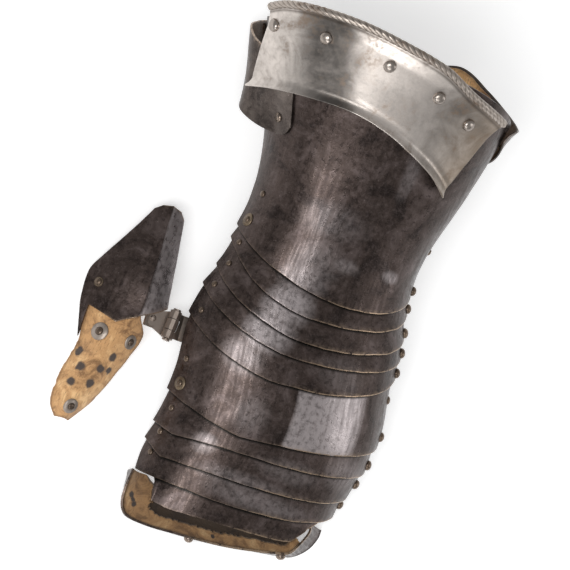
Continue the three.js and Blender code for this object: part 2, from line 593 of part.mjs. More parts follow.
// Band: flanged lower lip, hollow under the roped edge, five rivets
const bandPlace = (u, part) => {
  const line = (column) => smooth(BAND_LINE, "part", column, u);
  const off = Math.max(0, line("off")) * (1 - part);
  return {
    y: mix(line("lip"), line("rope"), part),
    angle: mix(line("lipAngle"), line("ropeAngle"), part),
    out: straight(BAND_PROFILE, "part", "out", part) + off,
  };
};
const bandPoint = (u, part) => {
  const { y, angle, out } = bandPlace(u, part);
  return skin(y, angle, out);
};
const bandSheet = skinSheet(BAND_PROFILE.map(({ part }) => part), steps(BAND.columns),
  BAND.thickness, bandPlace);
const ropeSpots = steps(BAND.columns).map((u) => {
  const { y, angle, out } = bandPlace(u, 1);
  return skin(y + BAND.ropeRadius * 0.5, angle, out - BAND.thickness / 2);
});
const bandWithRivets = BAND_RIVETS.reduce((solid, { along: u, part }) => solid.add(
  rivet(bandPoint(u, part), normalOf(bandPoint, u, part, 0.002), BAND_HEAD),
), bandSheet.add(bar(ropeSpots, BAND.ropeRadius, BAND.ropeSides)));
addNode("cuff_band", bandWithRivets, "band_steel");

// Inner plate of the cuff, flared at its rim, and the leather that lines it
const innerPlace = (angle, v) => {
  const top = smooth(INNER_RIM, "angle", "top", angle);
  const bottom = smooth(INNER_RIM, "angle", "bottom", angle);
  const flare = smooth(INNER_RIM, "angle", "flare", angle) * (1 - v) ** 2;
  const stand = Math.max(0, smooth(INNER_RIM, "angle", "stand", angle)) * v ** STAND_RISE;
  return { y: mix(top, bottom, v), angle, out: INNER_PLATE.foot + Math.max(0, flare) + stand };
};
const rimEnds = [INNER_RIM[0].angle, INNER_RIM[INNER_RIM.length - 1].angle];
const innerPlate = skinSheet(steps(4), steps(26), INNER_PLATE.thickness,
  (u, v) => innerPlace(mix(rimEnds[0], rimEnds[1], u), v));
const lobeSurface = (a, b) => skin(b, a, INNER_PLATE.foot);
const lobeHead = rivet(lobeSurface(LOBE_RIVET.angle, LOBE_RIVET.y),
  normalOf(lobeSurface, LOBE_RIVET.angle, LOBE_RIVET.y, 0.01), LOBE_RIVET.head);
addNode("inner_cuff_plate", innerPlate.add(lobeHead).subtract(belowTable), "inner_steel");
const lining = skinSheet(steps(4), steps(18), LEATHER, (u, v) => {
  const { y, angle, out } = innerPlace(mix(CUFF_LINING.from, CUFF_LINING.to, u),
    mix(CUFF_LINING.top, CUFF_LINING.bottom, v));
  return { y, angle, out: out - INNER_PLATE.thickness - CUFF_LINING.clear };
});
addNode("inner_cuff_lining", lining, "leather");

// End lame and the leather inside it
const endRow = (at) => {
  const row = THREE.MathUtils.clamp(Math.floor(at), 0, END_WALL.length - 2);
  const value = (column) => mix(END_WALL[row][column], END_WALL[row + 1][column], at - row);
  const rim = new THREE.Vector3(value("x"), value("y"), value("z"));
  return { rim, foot: new THREE.Vector3(value("footX"), value("footY"), 0), value };
};
const endPoint = (u, v) => {
  const { rim, foot } = endRow(u * (END_WALL.length - 1));
  return rim.lerp(foot, v);
};
const endWall = freeSheet(steps(2), steps(END_WALL.length - 1), END_PLATE, endPoint);
const endWithRivets = END_RIVETS.reduce((solid, { x, y, z, towards, head }) => solid.add(
  rivet(new THREE.Vector3(x, y, z), new THREE.Vector3(...towards).normalize(), head)), endWall);
addNode("end_lame", endWithRivets.subtract(belowTable), "inner_steel");

const withLeather = END_WALL.flatMap(({ inX }, row) => (inX === undefined ? [] : [row]));
const leatherSpan = [withLeather[0], withLeather[withLeather.length - 1]];
const endLeather = freeSheet(steps(3), steps(withLeather.length - 1), LEATHER, (u, v) => {
  const at = Math.min(mix(...leatherSpan, u), leatherSpan[1] - 1e-6);
  const { rim, foot, value } = endRow(at);
  const inwards = normalOf(endPoint, at / (END_WALL.length - 1), 0.5, 0.002).setZ(0).normalize();
  const lean = Math.max(0, foot.clone().sub(rim).dot(inwards));
  const edge = rim.addScaledVector(inwards, END_LEATHER_INSET + END_LEATHER_LEAN * lean);
  edge.z -= END_LEATHER_DROP;
  const point = edge.lerp(new THREE.Vector3(value("inX"), value("inY"), value("inZ")), 1 - v);
  point.z -= END_LEATHER_DISH * Math.sin(Math.PI * v);
  return point;
});
addNode("end_lining", endLeather, "leather");

// Thumb plate and thumb leather
const thumbPoint = (table, w, y) => {
  const value = (column) => smooth(table, "y", column, y);
  const [sideX, sideZ] = w < 0 ? [value("outX"), value("outZ")] : [value("inX"), value("inZ")];
  const fall = (value("ridgeZ") - sideZ) * Math.abs(w) ** THUMB_ARCH;
  return new THREE.Vector3(mix(value("ridgeX"), sideX, Math.abs(w)), y, value("ridgeZ") - fall);
};
const thumbHeads = (table, body, rivets) => rivets.reduce((solid, { y, w, head }) => {
  const surface = (a, b) => thumbPoint(table, a, b);
  return solid.add(rivet(surface(w, y), normalOf(surface, w, y, 0.01), head));
}, body);
const thumbColumns = [...THUMB_HEM.map(({ w }) => w), -0.45, 0.35, 0.8]
  .map((w) => (w + 1) / 2)
  .sort((a, b) => a - b);
const thumbPlate = freeSheet(steps(6), thumbColumns, PLATE, (u, v) => {
  const w = 2 * u - 1;
  return thumbPoint(THUMB, w, mix(straight(THUMB_TOP, "w", "y", w),
    straight(THUMB_HEM, "w", "y", w), v));
});
addNode("thumb_plate", thumbHeads(THUMB, thumbPlate, THUMB_RIVETS).subtract(belowTable),
  "blackened");
const tip = THUMB_LEATHER[THUMB_LEATHER.length - 1].y;
const thumbLeather = freeSheet(steps(10), steps(8), LEATHER, (u, v) =>
  thumbPoint(THUMB_LEATHER, 2 * u - 1, mix(THUMB_LEATHER[0].y, tip, v)));
addNode("thumb_leather",
  thumbHeads(THUMB_LEATHER, thumbLeather, THUMB_WASHERS).subtract(belowTable), "leather");

// Thumb hinge: three knuckles on a pin, the outer two on the hand's leaf
const hingeStart = new THREE.Vector3(...Object.values(HINGE.start));
const hingeEnd = new THREE.Vector3(...Object.values(HINGE.end));
const hingeLength = hingeEnd.distanceTo(hingeStart);
const hingeLine = hingeEnd.clone().sub(hingeStart).normalize();
const aroundHinge = (profile) => {
  const shape = new THREE.LatheGeometry(profile.map(([r, z]) => new THREE.Vector2(r, z)),
    HINGE.sides);
  shape.applyQuaternion(new THREE.Quaternion()
    .setFromUnitVectors(new THREE.Vector3(0, 1, 0), hingeLine));
  shape.translate(...hingeStart.toArray());
  return solidOf(shape);
};
const knuckleSpan = (i) => [
  HINGE.knuckles[i] * hingeLength + (i ? HINGE.gap / 2 : 0),
  HINGE.knuckles[i + 1] * hingeLength - (i < 2 ? HINGE.gap / 2 : 0),
];
const knuckle = (i) => {
  const [from, to] = knuckleSpan(i);
  const { radius, bore } = HINGE;
  return aroundHinge([[bore, from], [radius, from], [radius, to], [bore, to], [bore, from]]);
};
const clearance = (i) => {
  const [from, to] = knuckleSpan(i);
  const radius = HINGE.radius + HINGE.gap;
  const [low, high] = [from - HINGE.gap, to + HINGE.gap];
  return aroundHinge([[0, low], [radius, low], [radius, high], [0, high]]);
};
const leaf = ({ path, far, near }) => freeSheet([0, 1], steps(path.length - 1), LEAF, (u, v) => {
  const at = u * (path.length - 1);
  const row = Math.min(Math.floor(at), path.length - 2);
  const corner = ([x, z]) => (x === 0
    ? new THREE.Vector3(mix(HINGE.end.x, HINGE.start.x, v), mix(HINGE.end.y, HINGE.start.y, v), z)
    : new THREE.Vector3(x, mix(far.y, near.y, v), z));
  return corner(path[row]).lerp(corner(path[row + 1]), at - row);
});
addNode("hinge_leaf_hand",
  leaf(HAND_LEAF).subtract(clearance(1)).add(knuckle(0)).add(knuckle(2)), "hinge_steel");
const thumbLeafHead = rivet(new THREE.Vector3(...THUMB_LEAF.rivet), new THREE.Vector3(0, 0, 1),
  THUMB_LEAF.head);
addNode("hinge_leaf_thumb", leaf(THUMB_LEAF).subtract(clearance(0)).subtract(clearance(2))
  .add(knuckle(1)).add(thumbLeafHead), "hinge_steel");
const { pin, pinHead, pinHeadLength, gap } = HINGE;
const pinEnds = [-gap, hingeLength + gap];
addNode("hinge_pin", aroundHinge([
  [0, pinEnds[0] - pinHeadLength], [pinHead, pinEnds[0] - pinHeadLength], [pinHead, pinEnds[0]],
  [pin, pinEnds[0]], [pin, pinEnds[1]], [pinHead, pinEnds[1]],
  [pinHead, pinEnds[1] + pinHeadLength], [0, pinEnds[1] + pinHeadLength],
]), "hinge_steel");

// The whole glove, centred over the table's origin
const box = new THREE.Box3();
nodes.forEach(({ solid }) => {
  const { min, max } = solid.boundingBox();
  box.expandByPoint(new THREE.Vector3(...min)).expandByPoint(new THREE.Vector3(...max));
});
const centre = box.getCenter(new THREE.Vector3()).setZ(0);
const glove = new THREE.Group();
glove.name = "armoured_gauntlet";
nodes.forEach(({ name, solid, finish }) => {
  const { vertProperties, triVerts } = solid.translate(centre.clone().negate().toArray()).getMesh();
  const geometry = new THREE.BufferGeometry();
  geometry.setAttribute("position", new THREE.BufferAttribute(vertProperties, 3));
  geometry.setIndex(new THREE.BufferAttribute(triVerts, 1));
  const mesh = new THREE.Mesh(geometry, new THREE.MeshStandardMaterial(FINISH[finish]));
  mesh.material.name = finish;
  mesh.name = name;
  geometry.computeVertexNormals();
  glove.add(mesh);
});

// Where the hinge lines run, for whoever drives the joints
const pivotLine = (spec) => [-RIVET_LINE, RIVET_LINE].map((w) => {
  const y = w < 0 ? spec.rivetLeft : spec.rivetRight;
  return skin(y, angleAt(y, w), -PLATE).sub(centre).toArray();
});
glove.userData.hinges = Object.fromEntries(LAMES.map((spec) => [spec.name, pivotLine(spec)]));
glove.userData.hinges.thumb = [hingeStart, hingeEnd].map((end) => end.sub(centre).toArray());
glove.userData.centre = centre.toArray();

export default glove;
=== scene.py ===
# %% [markdown]
# # A mitten gauntlet of blackened iron
# The glove lies palm down on a table. Iron plates overlap from the cuff to the fingertips and
# turn on rivets at both sides, a bright steel band with a roped edge stiffens the mouth of the
# cuff, and a thumb plate with a tongue of old leather hangs on a small hinge.
# The plates are bent sheet metal, so each is made as one fine grid of points that gets its
# thickness from a Solidify modifier. That keeps every edge even and lets the same few numbers
# shape the whole glove.

# %% Load the fixed frame
import json
import math
import random

import bpy
import numpy as np
from mathutils import Matrix, Vector, noise


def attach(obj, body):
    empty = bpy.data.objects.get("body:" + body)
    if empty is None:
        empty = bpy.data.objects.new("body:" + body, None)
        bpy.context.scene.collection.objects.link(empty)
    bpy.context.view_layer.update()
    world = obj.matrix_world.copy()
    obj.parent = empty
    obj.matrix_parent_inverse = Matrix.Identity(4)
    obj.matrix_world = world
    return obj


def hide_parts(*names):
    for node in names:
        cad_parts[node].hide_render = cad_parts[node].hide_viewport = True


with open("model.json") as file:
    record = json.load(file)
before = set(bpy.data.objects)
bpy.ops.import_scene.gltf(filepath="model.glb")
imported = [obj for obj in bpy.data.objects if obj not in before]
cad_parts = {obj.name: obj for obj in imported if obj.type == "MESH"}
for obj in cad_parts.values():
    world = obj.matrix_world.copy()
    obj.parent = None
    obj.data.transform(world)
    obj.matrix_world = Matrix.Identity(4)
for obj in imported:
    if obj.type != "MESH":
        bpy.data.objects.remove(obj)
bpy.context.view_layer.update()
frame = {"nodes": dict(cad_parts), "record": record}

random.seed(7)
MM = 0.001

# %% [markdown]
# ## The glove in numbers
# An armourer cuts plates from patterns and bends them over the same form. Here the form is a
# table of rounded arches along the glove, and each pattern is a line across it: where a plate
# ends at the thumb side, over the crown and at the far side. Millimetres, with +Y to the cuff.

# %% The form and the patterns
def table(columns, rows):
    """Named columns of numbers. A comma ends a row."""
    values = np.array([[float(x) for x in row.split()] for row in rows.split(",")])
    return dict(zip(columns.split(), values.T))


def named_rows(columns, rows):
    """Rows of words and numbers as dicts. A row may leave out its last columns."""
    return [{c: float(x) if x[0] in "-0123456789" else x
             for c, x in zip(columns.split(), row.split())} for row in rows.split(",")]


PLATE, CUFF_PLATE, LEATHER = 1.0, 1.4, 1.8  # thicknesses
BAND_PLATE, INNER_PLATE, END_PLATE = 1.0, 1.0, 1.1
DROP, TUCK, CROWN_LAP, RIVET_LAP = 1.9, 4.0, 9, 4.5
RIVET_LINE, SHORTEST_VISIBLE, FULL_RISE = 0.88, 2, 6
PITCH_DEG, FINGERS_Y, FINGERS_Z = 11, -104, 2.3
SECTIONS = table("y mid half low crown belly power left right", """
    152 -1.5 75 10 70.5 53 2.1 97 84,
    138 -1 73 10 69 50.3 2.1 97 84,
    120 0.5 69 10 63.5 47 2.1 97 83,
    99 3 63 9.5 58 43.5 2.1 97 82,
    78 4.5 57 9 54 40.5 2.1 96 81,
    57 4 52 7 50.5 40 2.15 92 81,
    41 2.8 50.5 4 48.5 40 2.2 88 82,
    26 1.6 52 1 47.5 40 2.25 84 80,
    10 2 55 -2 47 40 2.3 80 78,
    -10 1.6 61 -4 47 40 2.3 77 77,
    -31 2.2 62.8 -5 47 40 2.3 76 76,
    -52 5 62.5 -5 46.5 40 2.3 76 76,
    -75 5 61.4 -6 44.5 40 2.3 77 77,
    -94 2.7 58.6 -7 40 40 2.3 80.2 80.2,
    -104 1.5 57.4 -7 37.6 40 2.3 80 80,
    -112 0.5 56.3 -7 35.5 40 2.3 76.5 76.5,
    -128 -3.5 51.5 -7 31 40 2.3 74 74""")
EDGES = {row.pop("name"): row for row in named_rows(
    "name left crown right peak power corner", """
    cuff 27.5 6.7 25 0.05 1.6,
    wrist_1 20.5 -4.6 15.7 -0.09 1.7,
    wrist_2 5 -17.6 2.5 -0.09 1.5,
    wrist_3 -6.9 -26.7 -8.3 -0.13 1.6,
    wrist_4 -23.2 -41.8 -18 -0.2 1.6,
    knuckle -64.8 -74.7 -57.3 -0.28 1.2,
    finger_1 -88.2 -82.3 -71.8 -0.1 1.5 5.2,
    finger_2 -100 -97.5 -87.4 -0.1 1.5 7,
    finger_3 -110 -110.6 -98.3 -0.1 1.5,
    cuff_top 134 141 119 -0.2 1.6""")}
CORNER_FROM = 0.75
LAMES = named_rows("name over edge rivetLeft rivetRight drop tuck deeper", """
    wrist_lame_1 cuff wrist_1 31.8 24.9,
    wrist_lame_2 wrist_1 wrist_2 19.3 15.3,
    wrist_lame_3 wrist_2 wrist_3 7.3 2.8,
    wrist_lame_4 wrist_3 wrist_4 -5.3 -7.6,
    knuckle_plate wrist_4 knuckle -20.2 -18.3,
    finger_lame_1 knuckle finger_1 -59.8 -52.4,
    finger_lame_2 finger_1 finger_2 -73.4 -68.6,
    finger_lame_3 finger_2 finger_3 -87 -80.2,
    finger_lame_4 finger_3 finger_4 -98.9 -93 2.4 4.6 1.012""")
WASHERED_LAMES = ["wrist_lame_1", "finger_lame_1"]
FINGER_4 = table("w y", """
    -1 -104, -0.91 -105, -0.8 -108, -0.74 -112.3, -0.69 -122, -0.5 -123, -0.1 -121.5,
    0.29 -120.3, 0.45 -118.8, 0.51 -110, 0.68 -103, 1 -101""")
# Rivet heads: radius, height and washer radius
HEAD = (2.3, 1.7, 0)
SMALL_HEAD = (1.7, 1.1, 0)
BAND_HEAD = (3.4, 2.4, 0)
WASHERED = (1.9, 1.9, 3.7)
WASHER_RISE = 0.6
EXTRA_RIVETS = {
    "cuff_plate": [(47, -0.84, SMALL_HEAD), (111.3, 0.93, SMALL_HEAD), (46.9, 0.9, SMALL_HEAD)],
    "knuckle_plate": [(-33.2, 0.9, HEAD), (-46.7, -0.9, SMALL_HEAD)],
}
print("stations on the form:", len(SECTIONS["y"]), "and plates above it:", len(LAMES) + 1)

# %% The band and the mouth
ROPE_RADIUS = 2.2
BAND_LINE = table("part lip lipAngle rope ropeAngle off", """
    0 97 -89 139 -82 8.5, 0.12 100.5 -73 143.4 -70 3, 0.3 103.3 -50 146.6 -52 0,
    0.5 103.8 -27 147.2 -32 0, 0.67 99.4 -9.5 144.4 -13 0, 0.8 92.3 4.5 140 3 0,
    0.9 85.9 16.3 131.3 19 0, 1 77.5 28 123 43 0""")
BAND_PROFILE = table("part out", """
    0 5.6, 0.06 4.3, 0.14 3.4, 0.78 2.8, 0.9 3.8, 1 5.4""")
BAND_RIVETS = [(0.05, 0.78), (0.34, 0.73), (0.62, 0.72), (0.815, 0.73), (0.93, 0.76)]
INNER_FOOT, STAND_RISE = 1.75, 0.9
INNER_RIM = table("angle top bottom flare stand", """
    63 121.8 114 4 1, 80 123 103 3.8 1, 100 128 96 3.6 0.5, 118 135 92 3 0, 135 141.5 91 3.6 0,
    150 136.5 91 3.6 0, 180 134 91 3.6 0, 225 131.5 91 4 3.6, 243 129 90.5 5 8.2,
    255 126.5 88 6 11.5, 264 122 83.5 4.5 12.5, 272 119 80 1 7, 284 116 78.8 0 0,
    293 114 80.5 0 0, 297 112 85 0 0""")
LINING_FROM, LINING_TO, LINING_TOP, LINING_BOTTOM = 98, 232, 0.03, 0.93
LINING_CLEAR = 0.8
LOBE_Y, LOBE_ANGLE = 87.3, 286
print("band from", BAND_LINE["part"][0], "to", BAND_LINE["part"][-1])

# %% The fingertips in numbers
END_WALL = table("row x y z footX footY", """
    0 -61 -110.8 14.2 -58 -110.8, 1 -62 -116 14.2 -57.4 -116, 2 -62.5 -121.8 14 -57 -121.5,
    3 -62.2 -127.6 13.4 -56.6 -127, 4 -60 -133 13 -55 -131.4, 5 -54.8 -136 13 -51 -134.4,
    6 -41.5 -136.9 13 -40 -135.4, 7 -27.1 -136.2 13 -26.5 -135, 8 -11 -135.4 13 -10.8 -134.2,
    9 4.3 -133.9 13 4.6 -132.8, 10 20 -131.2 13 21 -130.4, 11 33 -128.4 13 37 -128.3,
    12 38 -126.2 13 45 -126, 13 41.9 -119.5 13.8 52 -119.8, 14 44.8 -112.5 14 55.5 -112.8,
    15 44.5 -108 12.5 56 -108""")
END_LEATHER = table("row inX inY inZ", """
    0 -49.5 -110.8 6.5, 1 -46 -114 6.5, 2 -41 -116.5 7, 3 -38 -118.5 7.5, 4 -36.5 -119.5 8,
    5 -34.5 -120.2 8.3, 6 -30 -121 9, 7 -22 -121.5 9.5, 8 -9 -121.5 10, 9 3 -120.5 10,
    10 16 -118.5 10, 11 27 -116.5 9.5, 12 31 -115 9, 13 34 -111.5 9""")
END_INSET, END_LEAN, END_DROP, END_DISH = 2.7, 0.28, 1.1, 2
END_RIVETS = [dict(at=(-17.5, -135.2, 8), towards=(0, -1, 0.1)),
              dict(at=(34.6, -128.4, 8.5), towards=(0.2, -1, 0.1))]
print("stations round the fingertips:", len(END_WALL["row"]))

# %% The thumb, its hinge and the dent
THUMB = table("y outX outZ ridgeX ridgeZ inX inZ", """
    25.4 -86.7 12 -80.6 15.5 -71.7 12.5, 14 -92.6 9.3 -81.6 17 -70.6 13,
    3 -98.7 6.5 -82.1 18.5 -69.6 13.5, -9 -105.6 3 -82.6 19.5 -68.6 14,
    -18 -109.9 0.9 -83 20 -67.8 14, -33 -110.2 0.5 -83.8 19.5 -67 14,
    -42 -108.4 0.5 -88 18.5 -72 13, -57 -105 0.6 -92 17 -77 10""")
THUMB_HEM = table("w y", """
    -1 -53, -0.96 -50, -0.86 -36.1, -0.6 -38.8, -0.29 -41.7, -0.05 -37.5, 0.14 -34.9, 0.56 -31,
    1 -26.5""")
THUMB_TOP = table("w y", """
    -1 22, -0.7 24.6, 0 25.4, 0.7 24, 1 20.5""")
THUMB_LEATHER = table("y outX outZ ridgeX ridgeZ inX inZ", """
    -26 -106.5 0.6 -84.5 15.8 -79.5 13.7, -34 -106.6 0.5 -86.5 15.6 -79.6 12.5,
    -43 -105.7 0.4 -89.3 15.9 -74.1 9.5, -56 -104.9 0.5 -93.5 15 -77.6 7.5,
    -65 -107.4 0.5 -96.5 14 -81 6, -74 -109.4 0.4 -99.3 12.6 -84.5 4.5,
    -84 -110.5 0.4 -101.6 11 -89 2.5, -91 -109.6 0.5 -103 9 -93.6 1.2,
    -96.5 -105.6 0.6 -102.4 4.5 -97.8 0.7""")
THUMB_ARCH = 1.6
THUMB_RIVETS = [(-23.5, -0.8, (1.9, 1.9, 2.6))]
THUMB_WASHERS = [(-48.3, -0.52, (2.2, 1.9, 4.9)), (-48.8, 0.62, (2, 1.9, 4)),
                 (-90, 0.1, (2, 1.7, 4.2))]
HINGE_START, HINGE_END = (-64.4, -41.4, 17), (-62.8, -26.4, 17)
# Knocks in the iron: place, half length, half width and depth in mm, and turn in radians
DENTS = [dict(y=29, angle=26.6, long=6.5, wide=2.2, deep=-0.9, turn=-0.5)]
print("stations along the thumb:", len(THUMB["y"]))

# %% [markdown]
# ## From the patterns to places in space
# `smooth` reads a column between two rows along a curve, `straight` keeps the corners. `skin`
# is the form itself: station along the glove, angle round from the crown, and distance outside
# the surface. The glove is then pitched to lie on the table, as the frame's solids do.

# %% Reading the tables
def smooth(rows, key, column, at):
    order = np.argsort(rows[key])
    k, v = rows[key][order], rows[column][order]
    slope = np.gradient(v, k)
    slope[1:-1] = (v[2:] - v[:-2]) / (k[2:] - k[:-2])
    at = np.asarray(at, float)
    i = np.clip(np.searchsorted(k, at) - 1, 0, len(k) - 2)
    span = k[i + 1] - k[i]
    t = np.clip((at - k[i]) / span, 0, 1)
    beyond = at - (k[i] + t * span)
    bend = t * (1 - t) * span * (slope[i] * (1 - t) - slope[i + 1] * t)
    rise = v[i + 1] - v[i]
    return v[i] + rise * t * t * (3 - 2 * t) + bend + beyond * rise / span


def straight(rows, key, column, at):
    return np.interp(at, rows[key], rows[column])


print("half width at the wrist:", smooth(SECTIONS, "y", "half", 26), "mm")

# %% The form's surface
PITCH = math.radians(PITCH_DEG)
LIFT = -FINGERS_Y * math.sin(PITCH) - FINGERS_Z * math.cos(PITCH)
hinge_joint = next(j for j in frame["record"]["behaviour"]["joints"] if j["name"] == "thumb_hinge")
hinge_middle = (np.array(HINGE_START) + np.array(HINGE_END)) / 2
CENTRE = hinge_middle - np.array(hinge_joint["pos_m"]) / MM
CENTRE[2] = 0


def on_table(x, y, z):
    """The glove's own axes to the frame's metres."""
    turned = (x, y * math.cos(PITCH) - z * math.sin(PITCH),
              y * math.sin(PITCH) + z * math.cos(PITCH) + LIFT)
    return placed(*turned)


def placed(x, y, z):
    """A point that is already given as it stands on the table, to the frame's metres."""
    x, y, z = np.broadcast_arrays(x, y, z)
    points = np.stack([x - CENTRE[0], y - CENTRE[1], np.maximum(z, 0.0)], -1)
    return points * MM


def skin(y, angle, out):
    y, angle, out = np.broadcast_arrays(np.asarray(y, float), angle, out)
    mid, half, low, crown, belly, power = (smooth(SECTIONS, "y", c, y) for c in
                                           ("mid", "half", "low", "crown", "belly", "power"))
    s, c = np.sin(np.radians(angle)), np.cos(np.radians(angle))
    height = np.where(c > 0, crown - low, belly)
    side = np.sign(s) * np.abs(s) ** (2 / power)
    up = np.sign(c) * np.abs(c) ** (2 / power)
    nx = np.sign(s) * np.abs(side) ** (power - 1) / half
    nz = np.sign(c) * np.abs(up) ** (power - 1) / height
    length = np.hypot(nx, nz)
    return on_table(mid + half * side + nx / length * out, y,
                    low + height * up + nz / length * out)


def angle_at(y, w):
    """Angle that a plate's w of -1 to 1 stands for at station y."""
    return w * np.where(w < 0, smooth(SECTIONS, "y", "left", y), smooth(SECTIONS, "y", "right", y))


print("surface at the wrist:", skin(26.0, 0.0, 0.0).round(4))

# %% [markdown]
# ## Rubbed places and painted highlights
# Where hands, straps and other plates rub, the black comes off and the iron goes paler. Most
# patches also stand where the lamp's highlight falls and are painted lighter as painted
# highlights. Each place is a soft patch on the form: station, angle, half length, half width and
# strength.

# %% Where the black is rubbed, and where highlights are painted
# The knuckle patch is a raised second layer and is also painted lighter: a painted highlight.
PATCH_FROM, PATCH_TO, PATCH_THICK = -2.5, 36, 0.35  # a second layer laid on the knuckles
RUBBED_AND_HIGHLIGHTS = table("y angle long wide strength", """
    -27 14 9 12 0.2, -34 -33 9 11 0.45, -18 -24 10 12 1.3, -2 -21 11 12 1.3, 13 -20 10 12 0.6,
    22 -18 14 13 0.35, -76 40 9 16 0.4, 29 27 3 6 0.8, 27 -2 3.5 6 0.5, -84 -38 5 7 0.5,
    -62 -20 10 8 0.25, 46 -20 10 18 0.25, 84 8 14 4 0.4, -84 8 6 14 0.3, -97 -10 5 22 0.35,
    -104 4 5 26 0.4""")


def rubbed_and_highlight_at(y, angle):
    y, angle = np.broadcast_arrays(y, angle)
    total = np.zeros(y.shape)
    for row in zip(*RUBBED_AND_HIGHLIGHTS.values()):
        far = np.hypot((y - row[0]) / row[2], (angle - row[1]) / row[3])
        total = np.maximum(total, row[4] * np.clip(1.6 - 1.2 * far, 0, 1))
    return total


print("rubbed places:", len(RUBBED_AND_HIGHLIGHTS["y"]))

# %% [markdown]
# ## Hammered, not machined
# Old plates are never true. A slow waviness of a few tenths of a millimetre, the same on every
# plate so that they still slide over each other, and a little unevenness along each cut edge
# are enough for light to travel over the iron as it does over real hammer work.

# %% Unevenness
def field(points, size, seed):
    """Smooth noise at points in metres, with features of size millimetres."""
    flat = points.reshape(-1, 3) / (size * MM)
    values = [noise.noise(Vector(p) + Vector((seed, seed * 0.7, 0))) for p in flat]
    return np.array(values).reshape(points.shape[:-1])


def hammering(y, angle):
    base = skin(y, angle, 0)
    waves = 0.34 * field(base, 26, 1) + 0.16 * field(base, 11, 5)
    for m in DENTS:
        along, round_ = y - m["y"], (angle - m["angle"]) * 0.95
        c, s = math.cos(m["turn"]), math.sin(m["turn"])
        a, b = (along * c + round_ * s) / m["long"], (round_ * c - along * s) / m["wide"]
        waves = waves + m["deep"] * np.exp(-(a * a + b * b))
    return waves


def uneven(w, amount, seed):
    """Wander of a cut edge across a plate, in millimetres."""
    line = np.stack([np.asarray(w) * 60 * MM, np.full_like(w, seed * 0.031), np.zeros_like(w)], -1)
    return amount * (field(line, 9, seed) + 0.5 * field(line, 3.5, seed + 2))


print("dents:", len(DENTS))

# %% [markdown]
# ## From a grid of points to a plate
# `sheet` turns a grid into quads, notes for each point how far it is from the plate's bare edge
# and from the plate that covers it, and adds thickness. A narrow bevel rounds the edges as
# filing does, because light catches on that and not on a perfect corner.

# %% Sheets
made = {}
FAR_FROM_COVER = 20  # mm from any plate above, where none lies near


def write_note(mesh, name, values, kind="FLOAT", field_name="value"):
    """A number or three at each point, for the finishes to read."""
    layer = mesh.attributes.new(name, kind, "POINT")
    layer.data.foreach_set(field_name, values.reshape(-1).astype(np.float32))


def filed(piece, width_mm, sharper_than):
    """Rounds the edges that turn by more than an angle in degrees."""
    rounding = piece.modifiers.new("filed edge", "BEVEL")
    rounding.width, rounding.segments = width_mm * MM, 2
    rounding.limit_method, rounding.angle_limit = "ANGLE", math.radians(sharper_than)


def above_table(points, thickness, inside):
    """Lifts what would dip below the table once its thickness is added on the hollow side."""
    outward = np.cross(np.gradient(points, axis=0), np.gradient(points, axis=1))
    if np.sum(outward * (points - np.array(inside))) < 0:
        outward = -outward
    up = outward[..., 2] / np.maximum(np.linalg.norm(outward, axis=-1), 1e-12)
    lifted = points.copy()
    lifted[..., 2] = np.maximum(points[..., 2], 1.1 * thickness * MM * np.clip(up, 0.6, 1))
    return lifted


def sheet(name, points, thickness, inside, body, notes, bevel=0.25, replaces=()):
    """A plate from points[row][column]; inside is a point that its hollow side faces."""
    rows, columns = points.shape[:2]
    points = above_table(points, thickness, inside)
    first = np.arange(rows * columns).reshape(rows, columns)
    quads = np.stack([first[:-1, :-1], first[1:, :-1], first[1:, 1:], first[:-1, 1:]], -1)
    centres = (points[:-1, :-1] + points[1:, 1:]) / 2
    ways = np.cross(points[1:, 1:] - points[:-1, :-1], points[:-1, 1:] - points[1:, :-1])
    if np.sum(ways * (centres - np.array(inside))) < 0:
        quads = quads[..., ::-1]
    quads = quads.reshape(-1, 4)
    mesh = bpy.data.meshes.new(name)
    mesh.from_pydata(points.reshape(-1, 3).tolist(), [], quads.tolist())
    across = np.cumsum(np.linalg.norm(np.diff(points, axis=1, prepend=points[:, :1]), axis=2), 1)
    along = np.cumsum(np.linalg.norm(np.diff(points, axis=0, prepend=points[:1]), axis=2), 0)
    layout = np.stack([across - across[:, -1:] / 2, along, np.zeros_like(along)], -1)
    write_note(mesh, "layout", layout, "FLOAT_VECTOR", "vector")
    for key, values in {"cover_mm": FAR_FROM_COVER, **notes}.items():
        write_note(mesh, key, np.broadcast_to(values, (rows, columns)))
    return finish_piece(name, mesh, body, thickness, bevel, replaces)


print("sheets carry the notes layout, edge_mm and cover_mm")


# %% Adding a piece to the scene
def in_scene(name, data):
    added = bpy.data.objects.new(name, data)
    bpy.context.scene.collection.objects.link(added)
    return added


def finish_piece(name, mesh, body, thickness=None, bevel=None, replaces=()):
    mesh.update()
    mesh.polygons.foreach_set("use_smooth", [True] * len(mesh.polygons))
    piece = in_scene(name, mesh)
    if thickness:
        solid = piece.modifiers.new("thickness", "SOLIDIFY")
        solid.thickness, solid.offset = thickness * MM, -1
    if bevel:
        filed(piece, bevel, 50)
        piece.modifiers.new("clean light", "WEIGHTED_NORMAL").keep_sharp = True
    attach(piece, body)
    if replaces:
        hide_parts(*replaces)
    made[name] = piece
    return piece


print("ready to add pieces to", bpy.context.scene.name)

# %% [markdown]
# ## Rivets
# A rivet head is a low dome, peened by hand, so no two are quite alike. Each is a small lathe
# profile turned to stand on the plate, and all heads of one plate and one metal are one piece.
# Some sit on a brass washer.

# %% Rivet heads
def rim_frame(normal):
    side = np.cross(normal, (0.31, 0.9, 0.2))
    side /= np.linalg.norm(side)
    return side, np.cross(normal, side)


